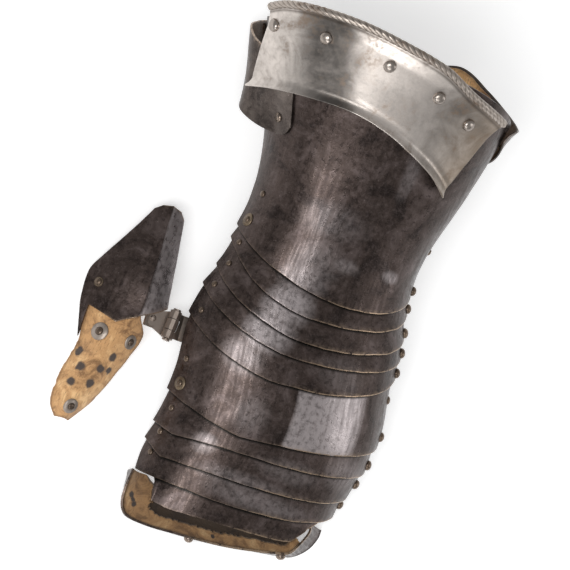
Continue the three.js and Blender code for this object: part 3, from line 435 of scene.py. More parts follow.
def tube_faces(rings, sides):
    """Faces of a tube of rings, with a cap at both ends."""
    pairs = [(s, (s + 1) % sides) for s in range(sides)]
    starts = [ring * sides for ring in range(rings)]
    faces = [(r + a, r + b, r + b + sides, r + a + sides) for r in starts[:-1] for a, b in pairs]
    return faces + [tuple(range(sides))[::-1], tuple(starts[-1] + s for s in range(sides))]


def turned(profile, at, normal, sides=22, squash=1.0):
    """Vertices and faces of a profile of (radius, height) in mm turned round normal."""
    side, up = rim_frame(normal)
    ring = np.arange(sides) * 2 * math.pi / sides
    spots = [at + MM * (r * squash * math.cos(a) * side + r / squash * math.sin(a) * up
                        + h * normal) for r, h in profile for a in ring]
    return spots, tube_faces(len(profile), sides)


def dome(radius, height, sink=0.6):
    arc = [(math.cos(t), math.sin(t)) for t in np.radians([0, 14, 28, 42, 56, 70, 82])]
    return ([(radius, -sink)] + [(radius * (0.02 + 0.98 * c), 0.18 * height + 0.82 * height * s)
                                 for c, s in arc])


def surface_normal(point, a, b, step=0.01):
    along = point(a + step, b) - point(a - step, b)
    beside = point(a, b + step) - point(a, b - step)
    normal = np.cross(along, beside)
    return normal / np.linalg.norm(normal)


print("rings in a rivet head:", len(dome(2, 1)))


# %% Setting rivets
def joined(name, parts, body):
    spots, faces = [], []
    for more_spots, more_faces in parts:
        base = len(spots)
        spots += [tuple(p) for p in more_spots]
        faces += [tuple(i + base for i in f) for f in more_faces]
    mesh = bpy.data.meshes.new(name)
    mesh.from_pydata(spots, [], faces)
    return finish_piece(name, mesh, body)


def set_rivets(name, heads, body):
    """heads are (point, normal, radius, height, washer) in mm for the last three."""
    domes, washers = [], []
    for at, normal, radius, height, washer in heads:
        lean = Vector(normal) + Vector([random.uniform(-0.06, 0.06) for _ in range(3)])
        tilted = np.array(lean.normalized())
        lift = WASHER_RISE if washer else 0
        shape = [(r, h + lift) for r, h in dome(radius * random.uniform(0.98, 1.06), height - lift)]
        domes.append(turned(shape, at, tilted, squash=random.uniform(0.97, 1.03)))
        if washer:
            flat = [(washer, -0.4), (washer, 0.3 * WASHER_RISE), (washer - 0.25, WASHER_RISE),
                    (radius * 0.7, WASHER_RISE)]
            washers.append(turned(flat, at, np.array(normal), sides=28))
    pieces = [joined(name, domes, body)]
    if washers:
        pieces.append(joined(name.replace("rivets", "washers"), washers, body))
    return pieces


def plate_heads(spots, out_at):
    """Rivets by station and w across a plate that lies out from the form by out_at."""
    def point(w, y):
        return skin(y, angle_at(y, w), out_at(w, y) + hammering_at(y, w))
    return [(point(w, y), surface_normal(point, w, y), *head) for y, w, head in spots]


def hammering_at(y, w):
    return float(hammering(np.array([y]), np.array([angle_at(y, w)]))[0])


print("a washer rises", WASHER_RISE, "mm")

# %% [markdown]
# ## The cuff
# One heavier plate, waisted at the wrist and flared to the mouth. It is the plate that all the
# others hang from, so its lower edge shows its whole thickness.

# %% Cuff plate
def sides(edge, w):
    """Whether w is left of the edge's peak, and the share of the way from the peak."""
    left = w < edge["peak"]
    span = np.where(left, 1 + edge["peak"], 1 - edge["peak"])
    return left, span, (np.abs(w - edge["peak"]) / span) ** edge["power"]


def edge_at(edge, w):
    w = np.asarray(w, float)
    left, _, reach = sides(edge, w)
    side = np.where(left, edge["left"], edge["right"])
    cut = edge.get("corner", 0) * np.maximum(0, (-w - CORNER_FROM) / (1 - CORNER_FROM))
    return edge["crown"] + (side - edge["crown"]) * reach + cut


def pivots(spec):
    left = WASHERED if spec["name"] in WASHERED_LAMES else SMALL_HEAD
    return [(spec["rivetLeft"], -RIVET_LINE, left), (spec["rivetRight"], RIVET_LINE, FULL_HEAD)]


FULL_HEAD = (HEAD[0] * 1.12, HEAD[1] * 1.35, 0)  # heads keep their full height on the far side


def inside_at(y):
    return on_table(2, y, 4)


w = np.linspace(-1, 1, 121)
low_edge = edge_at(EDGES["cuff"], w) + uneven(w, 0.3, 3)
top_edge = edge_at(EDGES["cuff_top"], w)
v = np.linspace(0, 1, 90)[:, None]
y = top_edge + (low_edge - top_edge) * v
angle = angle_at(y, w[None, :])
sheet("cuff_iron", skin(y, angle, hammering(y, angle)), CUFF_PLATE, inside_at(80), "cuff",
      {"edge_mm": y - low_edge, "cover_mm": 60 + 0 * y, "rubbed_and_highlight": rubbed_and_highlight_at(y, angle)},
      replaces=["cuff_plate"])
set_rivets("cuff_rivets", plate_heads(pivots(LAMES[0]) + EXTRA_RIVETS["cuff_plate"],
                                      lambda w, y: 0.0), "cuff")
print("cuff plate and its rivets")

# %% [markdown]
# ## The lames
# Each lame starts hidden behind the plate above it and comes up to the glove's surface at its
# own edge. The step between two plates is real relief and draws the dark line under each bright
# edge, and the iron finish adds painted shade along that line as well.

# %% Lames of the wrist, hand and fingers
def hidden_at(spec, w):
    above = EDGES[spec["over"]]
    crown = above["crown"] + CROWN_LAP
    left, span, reach = sides(above, w)
    rivet_y = np.where(left, spec["rivetLeft"], spec["rivetRight"])
    at_rivet = np.where(left, RIVET_LINE + above["peak"], RIVET_LINE - above["peak"]) / span
    return crown + (rivet_y + RIVET_LAP - crown) / at_rivet ** above["power"] * reach


def lame_lines(spec, w):
    last = spec["edge"] == "finger_4"
    end = straight(FINGER_4, "w", "y", w) if last else edge_at(EDGES[spec["edge"]], w)
    cover = edge_at(EDGES[spec["over"]], w)
    return hidden_at(spec, w), cover, np.maximum(cover, end + SHORTEST_VISIBLE), end


def lame_out(spec, w, y):
    drop, tuck = spec.get("drop", DROP), spec.get("tuck", TUCK)
    hidden, cover, bend, end = lame_lines(spec, w)
    rise = np.clip((cover - end) / FULL_RISE, 0, 1) * (bend - y)
    return np.where(y > cover, -drop - (tuck - drop) * (y - cover) / (hidden - cover),
                    -drop * (1 - rise / (bend - end)))


for number, spec in enumerate(LAMES):
    corners = list(FINGER_4["w"]) if spec["edge"] == "finger_4" else []
    w = np.unique(np.concatenate([np.linspace(-1, 1, 121), corners]))
    hidden, cover, bend, end = lame_lines(spec, w)
    wander = uneven(w, 0.35, 11 + number)
    rows_seen = int(np.clip(np.max(bend - end) / 1.1, 8, 40))
    v = np.concatenate([np.linspace(-1, 0, 8)[:-1], np.linspace(0, 1, rows_seen)])[:, None]
    y = bend + np.where(v < 0, (bend - hidden) * v, (end + wander - bend) * v)
    angle = spec.get("deeper", 1) * angle_at(y, w[None, :])
    out = lame_out(spec, w[None, :], y) + hammering(y, angle)
    rubbed_and_highlight = rubbed_and_highlight_at(y, angle)
    if spec["name"] == "knuckle_plate":
        laid_on = np.clip((angle - PATCH_FROM) / 1.5, 0, 1)
        out = out + PATCH_THICK * laid_on
        # The raised knuckle patch is painted lighter: painted highlight.
        rubbed_and_highlight = np.maximum(rubbed_and_highlight, 1.3 * laid_on * np.clip((PATCH_TO - angle) / 8, 0, 1))
    body = "knuckle" if spec["name"] == "knuckle_plate" else spec["name"]
    sheet(spec["name"] + "_iron", skin(y, angle, out), PLATE, inside_at(float(y.mean())), body,
          {"edge_mm": y - end - wander, "cover_mm": cover - y, "rubbed_and_highlight": rubbed_and_highlight},
          replaces=[spec["name"]])
    spots = pivots(LAMES[number + 1]) if number + 1 < len(LAMES) else []
    spots = spots + EXTRA_RIVETS.get(spec["name"], [])
    if spots:
        set_rivets(spec["name"] + "_rivets",
                   plate_heads(spots, lambda w, y, spec=spec: lame_out(spec, w, y)), body)
print("lames:", len(LAMES))

# %% [markdown]
# ## The band
# A strip of polished steel, flanged at its lower lip, with painted shade in the hollow under the
# rim. Its rim is roped: the edge is turned over a wire and filed into slanting strands. The
# strands are a shallow spiral cut into a bar, which holds up at any distance better than a
# painted pattern, and painted shade darkens the hollows between them.

# %% Band
def band_place(u, part):
    off = np.maximum(0, smooth(BAND_LINE, "part", "off", u)) * (1 - part)
    lip, rope = (smooth(BAND_LINE, "part", c, u) for c in ("lip", "rope"))
    a, b = (smooth(BAND_LINE, "part", c, u) for c in ("lipAngle", "ropeAngle"))
    out = smooth(BAND_PROFILE, "part", "out", part)
    return lip + (rope - lip) * part, a + (b - a) * part, out + off


def band_point(u, part):
    return skin(*band_place(u, part))


# Painted reflection: how light or dark the band is painted along its length
PAINTED_REFLECTION_ALONG = table("along shine", """
    0 0.7, 0.18 0.6, 0.3 0.2, 0.42 0.0, 0.5 0.5, 0.58 1.2, 0.7 1.0, 0.82 0.6, 1 0.35""")
u, part = np.meshgrid(np.linspace(0, 1, 150), np.linspace(0, 1, 44))
y, angle, out = band_place(u, part)
out = out + 0.18 * field(skin(y, angle, out), 22, 40)
out = out + 0.8 * np.exp(-(part / 0.035) ** 2) - 0.35 * np.exp(-((part - 0.11) / 0.05) ** 2)
# The band is painted darker just under the rope: painted shade.
sheet("band_steel", skin(y, angle, out), BAND_PLATE, inside_at(125), "cuff",
      {"edge_mm": part * 42, "cover_mm": (1 - part) * 42,
       "painted_groove_shade": 0.8 * np.exp(-((part - 0.955) / 0.035) ** 2),
       "shine": np.interp(u, PAINTED_REFLECTION_ALONG["along"], PAINTED_REFLECTION_ALONG["shine"])},
      bevel=0.3, replaces=["cuff_band"])
set_rivets("band_rivets", [(band_point(*spot), surface_normal(band_point, *spot, 0.002),
                            *BAND_HEAD) for spot in BAND_RIVETS], "cuff")
print("band rivets:", len(BAND_RIVETS))

# %% Roped edge
ROPE_STRANDS = 5
ROPE_PITCH = 19.0
ROPE_SIDES = 40
u = np.linspace(0, 1, 420)
y, angle, out = band_place(u, np.ones_like(u))
line = skin(y + ROPE_RADIUS * 0.5, angle, out - BAND_PLATE / 2)
forward = np.gradient(line, axis=0)
travelled = np.cumsum(np.linalg.norm(np.diff(line, axis=0, prepend=line[:1]), axis=1)) / MM
forward /= np.linalg.norm(forward, axis=1)[:, None]
side = np.cross((0, 1, 0), forward)
side /= np.linalg.norm(side, axis=1)[:, None]
up = np.cross(forward, side)
turn = np.linspace(0, 2 * math.pi, ROPE_SIDES, endpoint=False)
phase = turn[None, :] - 2 * math.pi * travelled[:, None] / ROPE_PITCH
strand = np.abs(np.sin(phase * ROPE_STRANDS / 2)) ** 0.7
radius = ROPE_RADIUS * (0.88 + 0.14 * strand)
rope = (line[:, None] + MM * radius[..., None] * (np.cos(turn)[None, :, None] * side[:, None]
                                                + np.sin(turn)[None, :, None] * up[:, None]))
rings = [tuple(p) for p in rope.reshape(-1, 3)]
mesh = bpy.data.meshes.new("band_rope")
mesh.from_pydata(rings, [], tube_faces(len(u), ROPE_SIDES))
# The rope is painted darker between its strands: painted shade.
write_note(mesh, "painted_groove_shade", 1 - strand)
finish_piece("band_rope", mesh, "cuff")
print("rope edge:", round(float(travelled[-1]), 1), "mm long")

# %% [markdown]
# ## Inside the mouth
# On the palm side the cuff is closed by a thinner plate that flares at its rim, with a strip of
# leather riveted inside it. Both are seen from the open end and past the ends of the band.

# %% Inner plate and its lining
def inner_place(angle, v):
    top, bottom, flare, stand = (smooth(INNER_RIM, "angle", c, angle)
                                 for c in ("top", "bottom", "flare", "stand"))
    out = (INNER_FOOT + np.maximum(0, flare * (1 - v) ** 2)
           + np.maximum(0, stand) * np.maximum(v, 0) ** STAND_RISE)
    return top + (bottom - top) * v, angle, out


ends = INNER_RIM["angle"][0], INNER_RIM["angle"][-1]
around, v = np.meshgrid(np.linspace(*ends, 170), np.linspace(0, 1, 30))
y, angle, out = inner_place(around, v)
points = skin(y, angle, out + 0.25 * field(skin(y, angle, out), 20, 60))
sheet("inner_plate_iron", points, INNER_PLATE, inside_at(115), "cuff",
      {"edge_mm": v * 35}, replaces=["inner_cuff_plate"])


def lobe(angle, y):
    return skin(y, angle, INNER_FOOT)


set_rivets("inner_plate_rivets", [(lobe(LOBE_ANGLE, LOBE_Y),
                                   -surface_normal(lobe, LOBE_ANGLE, LOBE_Y), 2.4, 0.6, 0)],
           "cuff")
around, v = np.meshgrid(np.linspace(LINING_FROM, LINING_TO, 110),
                        np.linspace(LINING_TOP, LINING_BOTTOM, 34))
y, angle, out = inner_place(around, v)
y = y + uneven(around / 40, 0.5, 71) * (1 - 2 * v)
out = out - INNER_PLATE - LINING_CLEAR
sheet("inner_lining_leather", skin(y, angle, out), LEATHER, inside_at(115), "cuff",
      {"edge_mm": np.minimum(v - LINING_TOP, LINING_BOTTOM - v) * 35},
      replaces=["inner_cuff_lining"])
print("inner plate and lining")

# %% [markdown]
# ## The fingertips
# The last lame is a low wall round the fingertips. Between it and the finger lame above lies
# the ragged leather that once held them together. The wall is drawn from its rim and its foot,
# and the leather from the same rim inwards, sagging between the two.

# %% End lame and leather
def end_rows(at):
    return {c: smooth(END_WALL, "row", c, at) for c in ("x", "y", "z", "footX", "footY")}


def end_point(u, v):
    e = end_rows(u * (len(END_WALL["row"]) - 1))
    rim, foot = placed(e["x"], e["y"], e["z"]), placed(e["footX"], e["footY"], 0 * e["x"])
    v = np.asarray(v)[..., None]
    return rim + (foot - rim) * v


u, v = np.meshgrid(np.linspace(0, 1, 160), np.linspace(0, 1, 14))
points = end_point(u, v)
points[:, :, 2] += MM * (1 - v) * 0.35 * field(points, 12, 80)
fingers = placed(-8, -112, 6)
sheet("end_lame_iron", points, END_PLATE, fingers, "fingertip",
      {"edge_mm": v * 13}, bevel=0.3, replaces=["end_lame"])
set_rivets("end_lame_rivets", [
    (placed(*r["at"]), np.array(Vector(r["towards"]).normalized()), 2.4, 2.4, 0)
    for r in END_RIVETS], "fingertip")
print("end lame and", len(END_RIVETS), "rivets")

# %% Leather at the fingertips
TO_WALL, FOLD, HANG = 1.7, 2.2, 8  # mm nearer the wall, depth of the fold, fall past the edge
# How wide the pale, bared strip of leather is before the fold behind it, which sinks and gets
# painted shade
LEATHER_STRIP = table("row wide", """
    0 22, 3 20, 5 14, 6 8.5, 8 6.5, 10 6, 12 4, 13 3""")
u, v = np.meshgrid(np.linspace(END_LEATHER["row"][0], END_LEATHER["row"][-1] - 1e-6, 190),
                   np.linspace(0, 1.22, 70))
e = end_rows(u)
rim = placed(e["x"], e["y"], e["z"])
foot = placed(e["footX"], e["footY"], 0 * u)
run = np.gradient(rim, axis=1)
inwards = np.stack([-run[..., 1], run[..., 0], 0 * u], -1)
inwards /= np.linalg.norm(inwards, axis=-1)[..., None]
if np.sum(inwards * (fingers - rim)) < 0:
    inwards = -inwards
lean = np.maximum(0, np.sum((foot - rim) * inwards, -1))[..., None]
edge = rim + inwards * ((END_INSET - TO_WALL) * MM + END_LEAN * lean)  # up against the wall
edge[..., 2] -= END_DROP * MM
reach = placed(*(smooth(END_LEATHER, "row", c, u) for c in ("inX", "inY", "inZ")))
points = edge + (reach - edge) * v[..., None]
points[..., 2] -= MM * END_DISH * np.sin(math.pi * np.clip(v, 0, 1))
points[..., 2] -= MM * HANG * np.maximum(0, v - 1)
points[..., 2] += MM * 0.5 * field(points, 9, 90) * np.sin(math.pi * np.clip(v, 0, 1))
width = smooth(LEATHER_STRIP, "row", "wide", u) * (1 + uneven(u * 3, 0.16, 95))
far_in = np.linalg.norm(points - edge, axis=-1) / MM - width
# deep sinks the fold and marks it for painted shade, near black in the finish.
deep = np.clip(far_in, 0, 1)
points[..., 2] -= MM * FOLD * deep
points[..., 2] = np.maximum(points[..., 2], LEATHER * MM)
sheet("end_leather", points, LEATHER, placed(-8, -120, 0) - (0, 0, 0.03), "fingertip",
      {"edge_mm": np.linalg.norm(points - edge, axis=-1) / MM,
       "deep": 0.93 * deep}, replaces=["end_lining"])
print("end lame and its leather")

# %% [markdown]
# ## The thumb
# The thumb plate is a pointed shield with a blunt ridge. Its lower plates are lost, so the
# leather they were riveted to lies bare, with dark marks where the iron stained it.

# %% Thumb plate
RIDGE_RISE, RIDGE_WIDE = 1.3, 0.16  # mm, and a share of the plate's half width


def thumb_point(rows, w, y):
    w, y = np.broadcast_arrays(np.asarray(w, float), np.asarray(y, float))
    value = {c: smooth(rows, "y", c, y) for c in ("outX", "outZ", "ridgeX", "ridgeZ", "inX", "inZ")}
    side_x = np.where(w < 0, value["outX"], value["inX"])
    side_z = np.where(w < 0, value["outZ"], value["inZ"])
    fall = (value["ridgeZ"] - side_z) * np.abs(w) ** THUMB_ARCH
    return placed(value["ridgeX"] + (side_x - value["ridgeX"]) * np.abs(w), y,
                  value["ridgeZ"] - fall)


w = np.unique(np.concatenate([np.linspace(-1, 1, 91), THUMB_HEM["w"]]))
top, hem = straight(THUMB_TOP, "w", "y", w), straight(THUMB_HEM, "w", "y", w)
v = np.linspace(0, 1, 60)[:, None]
y = top + (hem - top) * v
points = thumb_point(THUMB, w[None, :], y)
points[..., 2] += MM * (0.3 * field(points, 14, 100) + 0.12 * field(points, 6, 101))
points[..., 2] += MM * RIDGE_RISE * np.exp(-np.abs(w) / RIDGE_WIDE)[None, :]
under = placed(-88, -20, 0) - (0, 0, 0.04)
points[..., 2] = np.maximum(points[..., 2], 0)
# The far facet of the thumb plate is painted lighter: painted highlight, not wear.
sheet("thumb_iron", points, PLATE, under, "thumb",
      {"edge_mm": np.minimum(y - hem, top - y) + 0 * v,
       "rubbed_and_highlight": np.clip(w / 0.1, 0, 1.25) + 0 * v}, replaces=["thumb_plate"])


def on_thumb(rows):
    return lambda w, y: thumb_point(rows, w, y)


def thumb_heads(rows, spots):
    point = on_thumb(rows)
    return [(point(w, y), surface_normal(point, w, y), *head) for y, w, head in spots]


set_rivets("thumb_rivets", thumb_heads(THUMB, THUMB_RIVETS), "thumb")
print("thumb plate")

# %% Thumb leather
w = np.linspace(-1, 1, 61)
tip, start = THUMB_LEATHER["y"].min(), THUMB_LEATHER["y"].max()
v = np.linspace(0, 1, 90)[:, None]
y = start + (tip - start) * v + 0 * w
ragged = 1 + uneven(y / 25, 0.02, 111)
points = thumb_point(THUMB_LEATHER, w[None, :] * ragged, y)
points[..., 2] += MM * 0.35 * field(points, 8, 112)
points[..., 2] = np.maximum(points[..., 2], 0)
sheet("thumb_hide", points, LEATHER, under, "thumb",
      {"edge_mm": np.minimum((1 - np.abs(w)) * 14, y - tip) + 0 * v},
      replaces=["thumb_leather"])
set_rivets("thumb_leather_rivets", thumb_heads(THUMB_LEATHER, THUMB_WASHERS), "thumb")
print("thumb leather")

# %% [markdown]
# ## Painting with nodes
# Every finish is a small node tree in the piece's own coordinates, so that grain keeps its real
# size and goes with the piece. `Finish` only shortens the writing: each call adds one node and
# gives back its output.

# %% A short way to write node trees
class Finish:
    def __init__(self, name):
        self.material = bpy.data.materials.new(name)
        self.material.use_nodes = True
        self.tree = self.material.node_tree
        self.tree.nodes.clear()
        self.shader = self.tree.nodes.new("ShaderNodeBsdfPrincipled")
        out = self.tree.nodes.new("ShaderNodeOutputMaterial")
        self.tree.links.new(self.shader.outputs[0], out.inputs[0])
        self.place = self.tree.nodes.new("ShaderNodeTexCoord").outputs["Object"]

    def put(self, socket, value):
        if isinstance(value, bpy.types.NodeSocket):
            self.tree.links.new(value, socket)
        else:
            socket.default_value = value

    def add(self, kind, inputs, output=0, **settings):
        node = self.tree.nodes.new(kind)
        for key, value in settings.items():
            setattr(node, key, value)
        for key, value in inputs.items():
            self.put(node.inputs[key], value)
        return node.outputs[output]

    def noise(self, size_mm, detail=3.0, rough=0.55, where=None, warp=0.0, output=0):
        """Cloudy noise with features of size_mm."""
        return self.add("ShaderNodeTexNoise", {
            "Vector": where or self.place, "Scale": 1 / (size_mm * MM), "Detail": detail,
            "Roughness": rough, "Distortion": warp}, output)

    def note(self, name):
        return self.add("ShaderNodeAttribute", {}, 2, attribute_name=name)

    def stretched(self, along, around):
        """The plate's own layout, squeezed so that noise comes out as streaks."""
        layout = self.add("ShaderNodeAttribute", {}, 1, attribute_name="layout")
        return self.add("ShaderNodeMapping", {"Vector": layout, "Scale": (around, along, 1)})

    def across(self):
        """Metres from the middle of the plate towards the little finger."""
        layout = self.add("ShaderNodeAttribute", {}, 1, attribute_name="layout")
        return self.add("ShaderNodeSeparateXYZ", {"Vector": layout})

    def between(self, value, low, high, to=(0.0, 1.0)):
        """0 below low and 1 above high, smoothly."""
        return self.add("ShaderNodeMapRange", {
            "Value": value, "From Min": low, "From Max": high, "To Min": to[0], "To Max": to[1]},
            interpolation_type="SMOOTHSTEP")

    def math(self, way, a, b):
        return self.add("ShaderNodeMath", {0: a, 1: b}, operation=way)

    def times(self, a, b):
        return self.math("MULTIPLY", a, b)

    def blend(self, share, a, b, way="MIX"):
        node = self.tree.nodes.new("ShaderNodeMix")
        node.data_type, node.blend_type = "RGBA", way
        self.put(node.inputs["Factor"], share)
        for socket, value in ((node.inputs[6], a), (node.inputs[7], b)):
            self.put(socket, (*value, 1.0) if isinstance(value, tuple) and len(value) == 3
                     else value)
        return node.outputs[2]

    def ramp(self, value, *stops):
        node = self.tree.nodes.new("ShaderNodeValToRGB")
        node.color_ramp.interpolation = "EASE"
        while len(node.color_ramp.elements) < len(stops):
            node.color_ramp.elements.new(0.5)
        for element, (at, colour) in zip(node.color_ramp.elements, stops):
            element.position, element.color = at, (*colour, 1)
        self.put(node.inputs[0], value)
        return node.outputs[0]

    def bump(self, height, depth_mm, after=None):
        inputs = {"Height": height, "Distance": depth_mm * MM, "Strength": 1.0}
        if after is not None:
            inputs["Normal"] = after
        return self.add("ShaderNodeBump", inputs)

    def set(self, **values):
        names = {"colour": "Base Color", "rough": "Roughness", "metal": "Metallic",
                 "normal": "Normal", "sheen": "Sheen Weight"}
        for key, value in values.items():
            self.put(self.shader.inputs[names[key]],
                     (*value, 1.0) if key == "colour" and isinstance(value, tuple) else value)
        return self.material


print("finishes are node trees in metres")

# %% [markdown]
# ## Blackened iron
# The smith leaves the iron black from the fire and oils it. Handling then wears it: a brown
# patina in slow clouds, a paler bloom, a polish where hands have rubbed it that also carries
# painted highlights, bronze-bright edges, painted shade in the step under each plate and fine
# scratches along the fingers.

# %% Blackened iron
POLISHED_AND_HIGHLIGHT = (0.36, 0.32, 0.32)


def iron(name, dark, brown, bloom, edge_colour, hand_side=False):
    f = Finish(name)
    clouds = f.noise(15, 6, 0.65, warp=0.7)
    mottle = f.noise(2.6, 5, 0.65, warp=0.3)
    fine_mottle = f.noise(0.8, 4, 0.65)
    streak = f.noise(1.0, 4, 0.6, where=f.stretched(0.05, 0.45))
    colour = f.ramp(clouds, (0.34, dark), (0.5, brown), (0.72, bloom))
    for cause, low, high, share, tone in (
            (mottle, 0.5, 0.72, 0.45, bloom), (fine_mottle, 0.5, 0.7, 0.4, bloom),
            (mottle, 0.46, 0.3, 0.75, dark), (streak, 0.55, 0.75, 0.3, bloom)):
        colour = f.blend(f.between(cause, low, high, (0, share)), colour, tone)
    rubbed_and_highlight = f.times(f.note("rubbed_and_highlight"), f.between(streak, 0.3, 0.6, (0.62, 1)))
    rubbed_and_highlight = f.times(rubbed_and_highlight, f.between(mottle, 0.3, 0.6, (0.5, 1.1)))
    # Paler where the rubbed note says: real rubbing and painted highlights together.
    colour = f.blend(f.times(rubbed_and_highlight, 0.9), colour, POLISHED_AND_HIGHLIGHT)
    if hand_side:
        at_x = f.add("ShaderNodeSeparateXYZ", {"Vector": f.place})
        colour = f.blend(f.between(at_x, 0.02, -0.01, (0, 0.75)), colour, dark)
    edge, cover = f.note("edge_mm"), f.note("cover_mm")
    broken = f.noise(2.4, 3, 0.6)
    far_side = f.between(f.across(), -0.012, 0.012, (0.12, 1.0))
    worn = f.times(f.between(edge, 0.8, 0.25), f.between(broken, 0.34, 0.5))
    worn = f.times(worn, far_side)
    halo = f.times(f.between(edge, 3.0, 0.4, (0, 0.25)), f.between(mottle, 0.4, 0.6))
    halo = f.times(halo, far_side)
    colour = f.blend(halo, colour, edge_colour)
    colour = f.blend(worn, colour, edge_colour)
    # Painted shade: the iron goes near black just under the edge of the plate above.
    painted_shade_under_plate = f.times(f.between(cover, 2.0, 0.3), f.between(edge, 1.0, 2.0))
    colour = f.blend(painted_shade_under_plate, colour, (0.006, 0.005, 0.004))
    fine = f.noise(1.0, 2, 0.5, where=f.stretched(0.05, 1.6))
    scratch = f.times(f.between(fine, 0.7, 0.76), f.between(f.noise(9, 2), 0.56, 0.68))
    colour = f.blend(f.times(scratch, 0.4), colour, (0.3, 0.22, 0.17))
    specks = f.times(f.between(f.noise(0.9, 2, 0.6), 0.68, 0.74),
                    f.between(clouds, 0.42, 0.6))
    colour = f.blend(f.times(specks, 0.5), colour, (0.3, 0.25, 0.23))
    rough = f.between(clouds, 0.35, 0.7, (0.3, 0.36))
    rough = f.math("ADD", rough, f.between(streak, 0.35, 0.65, (0.1, -0.06)))
    rough = f.math("ADD", rough, f.between(mottle, 0.35, 0.7, (-0.05, 0.12)))
    rough = f.math("SUBTRACT", rough, f.times(worn, 0.12))
    pits = f.between(f.noise(1.3, 3, 0.6), 0.36, 0.5)
    relief = f.bump(f.noise(7, 3, 0.5), 0.16)
    relief = f.bump(pits, 0.018, relief)
    relief = f.bump(streak, 0.05, relief)
    relief = f.bump(f.noise(0.55, 3, 0.6), 0.02, relief)
    return f.set(colour=colour, rough=rough, metal=0.82, normal=relief)


DARK, BROWN, BLOOM = (0.024, 0.017, 0.015), (0.053, 0.038, 0.033), (0.115, 0.089, 0.084)
BRONZE = (0.36, 0.26, 0.18)
blackened = iron("blackened_iron", DARK, BROWN, BLOOM, BRONZE)
dull = iron("inner_iron", (0.035, 0.028, 0.025), (0.075, 0.06, 0.053), (0.15, 0.125, 0.11),
            (0.36, 0.28, 0.22))
rivet_iron = iron("rivet_iron", (0.1, 0.072, 0.053), (0.2, 0.145, 0.105), (0.34, 0.26, 0.19),
                  (0.11, 0.08, 0.06), hand_side=True)
print("irons:", blackened.name, dull.name, rivet_iron.name)

# %% [markdown]
# ## Band steel, brass and hinge
# The band was left bright. It is scrubbed along its length, with brown bloom where old rust was
# cleaned off, and it is brightest on the rim. Along its length it is painted lighter and darker,
# and tan towards its far end, as painted reflection, and it gets painted shade under the rope and
# between the strands. The washers are brass gone brown.

# %% Bright steel and brass
def bright(name, base, stain, stain_share, rough=0.27, with_painted_reflection=False):
    f = Finish(name)
    clouds = f.noise(20, 5, 0.62, warp=0.8)
    small = f.noise(2.6, 4, 0.6)
    brushed = f.noise(1.0, 3, 0.6, where=f.stretched(2.2, 0.05))
    # The band is painted lighter and darker along its length: painted reflection.
    if with_painted_reflection:
        shine = f.math("ADD", f.note("shine"), f.between(clouds, 0.3, 0.7, (0.16, -0.16)))
        base = f.blend(f.between(shine, 0.0, 1.0), tuple(c * 0.22 for c in base),
                       tuple(min(c * 1.35, 1) for c in base))
    colour = f.blend(f.between(small, 0.42, 0.7, (0, 0.22)), base, (0.2, 0.17, 0.145))
    # Tan towards the far end of the band: painted reflection of brown surroundings.
    colour = f.blend(f.between(f.across(), 0.03, 0.085, (0, 0.55)), colour, (0.26, 0.19, 0.125))
    patches = f.times(f.between(clouds, 0.5, 0.68, (0, stain_share)),
                     f.between(small, 0.36, 0.6))
    colour = f.blend(patches, colour, stain)
    # Painted shade under the rope and between the strands.
    painted_groove_shade = f.between(f.note("painted_groove_shade"), 0.35, 0.95, (0, 0.8))
    colour = f.blend(painted_groove_shade, colour, (0.06, 0.045, 0.035))
    roughness = f.math("ADD", f.between(small, 0.3, 0.7, (rough, rough + 0.12)),
                       f.times(patches, 0.2))
    relief = f.bump(brushed, 0.02)
    relief = f.bump(f.noise(12, 2), 0.16, relief)
    relief = f.bump(f.noise(0.7, 3), 0.012, relief)
    return f.set(colour=colour, rough=roughness, metal=1.0, normal=relief)


band_steel = bright("band_steel", (0.5, 0.455, 0.42), (0.24, 0.17, 0.12), 0.55, 0.3, True)
rope_steel = bright("rope_steel", (0.4, 0.35, 0.31), (0.2, 0.14, 0.1), 0.9, 0.34)
dome_steel = bright("band_dome_steel", (0.34, 0.3, 0.27), (0.2, 0.15, 0.11), 0.5, 0.24)
hinge_steel = bright("hinge_steel", (0.36, 0.3, 0.26), (0.16, 0.11, 0.08), 0.8, 0.36)
ring_iron = bright("ring_iron", (0.36, 0.31, 0.27), (0.13, 0.085, 0.06), 0.8, 0.42)
brass = bright("old_brass", (0.17, 0.13, 0.09), (0.07, 0.05, 0.038), 0.9, 0.4)
print("bright metals:", band_steel.name, hinge_steel.name, brass.name)

# %% [markdown]
# ## Old leather
# Undyed hide, dried and rubbed until its fibres lie open. It is pale where it was covered,
# brown from iron and hands at its edges, and it has no gloss at all. The lining is painted
# lighter still, painted light against the shade of the rim over it, and the fold at the
# fingertips gets painted shade.

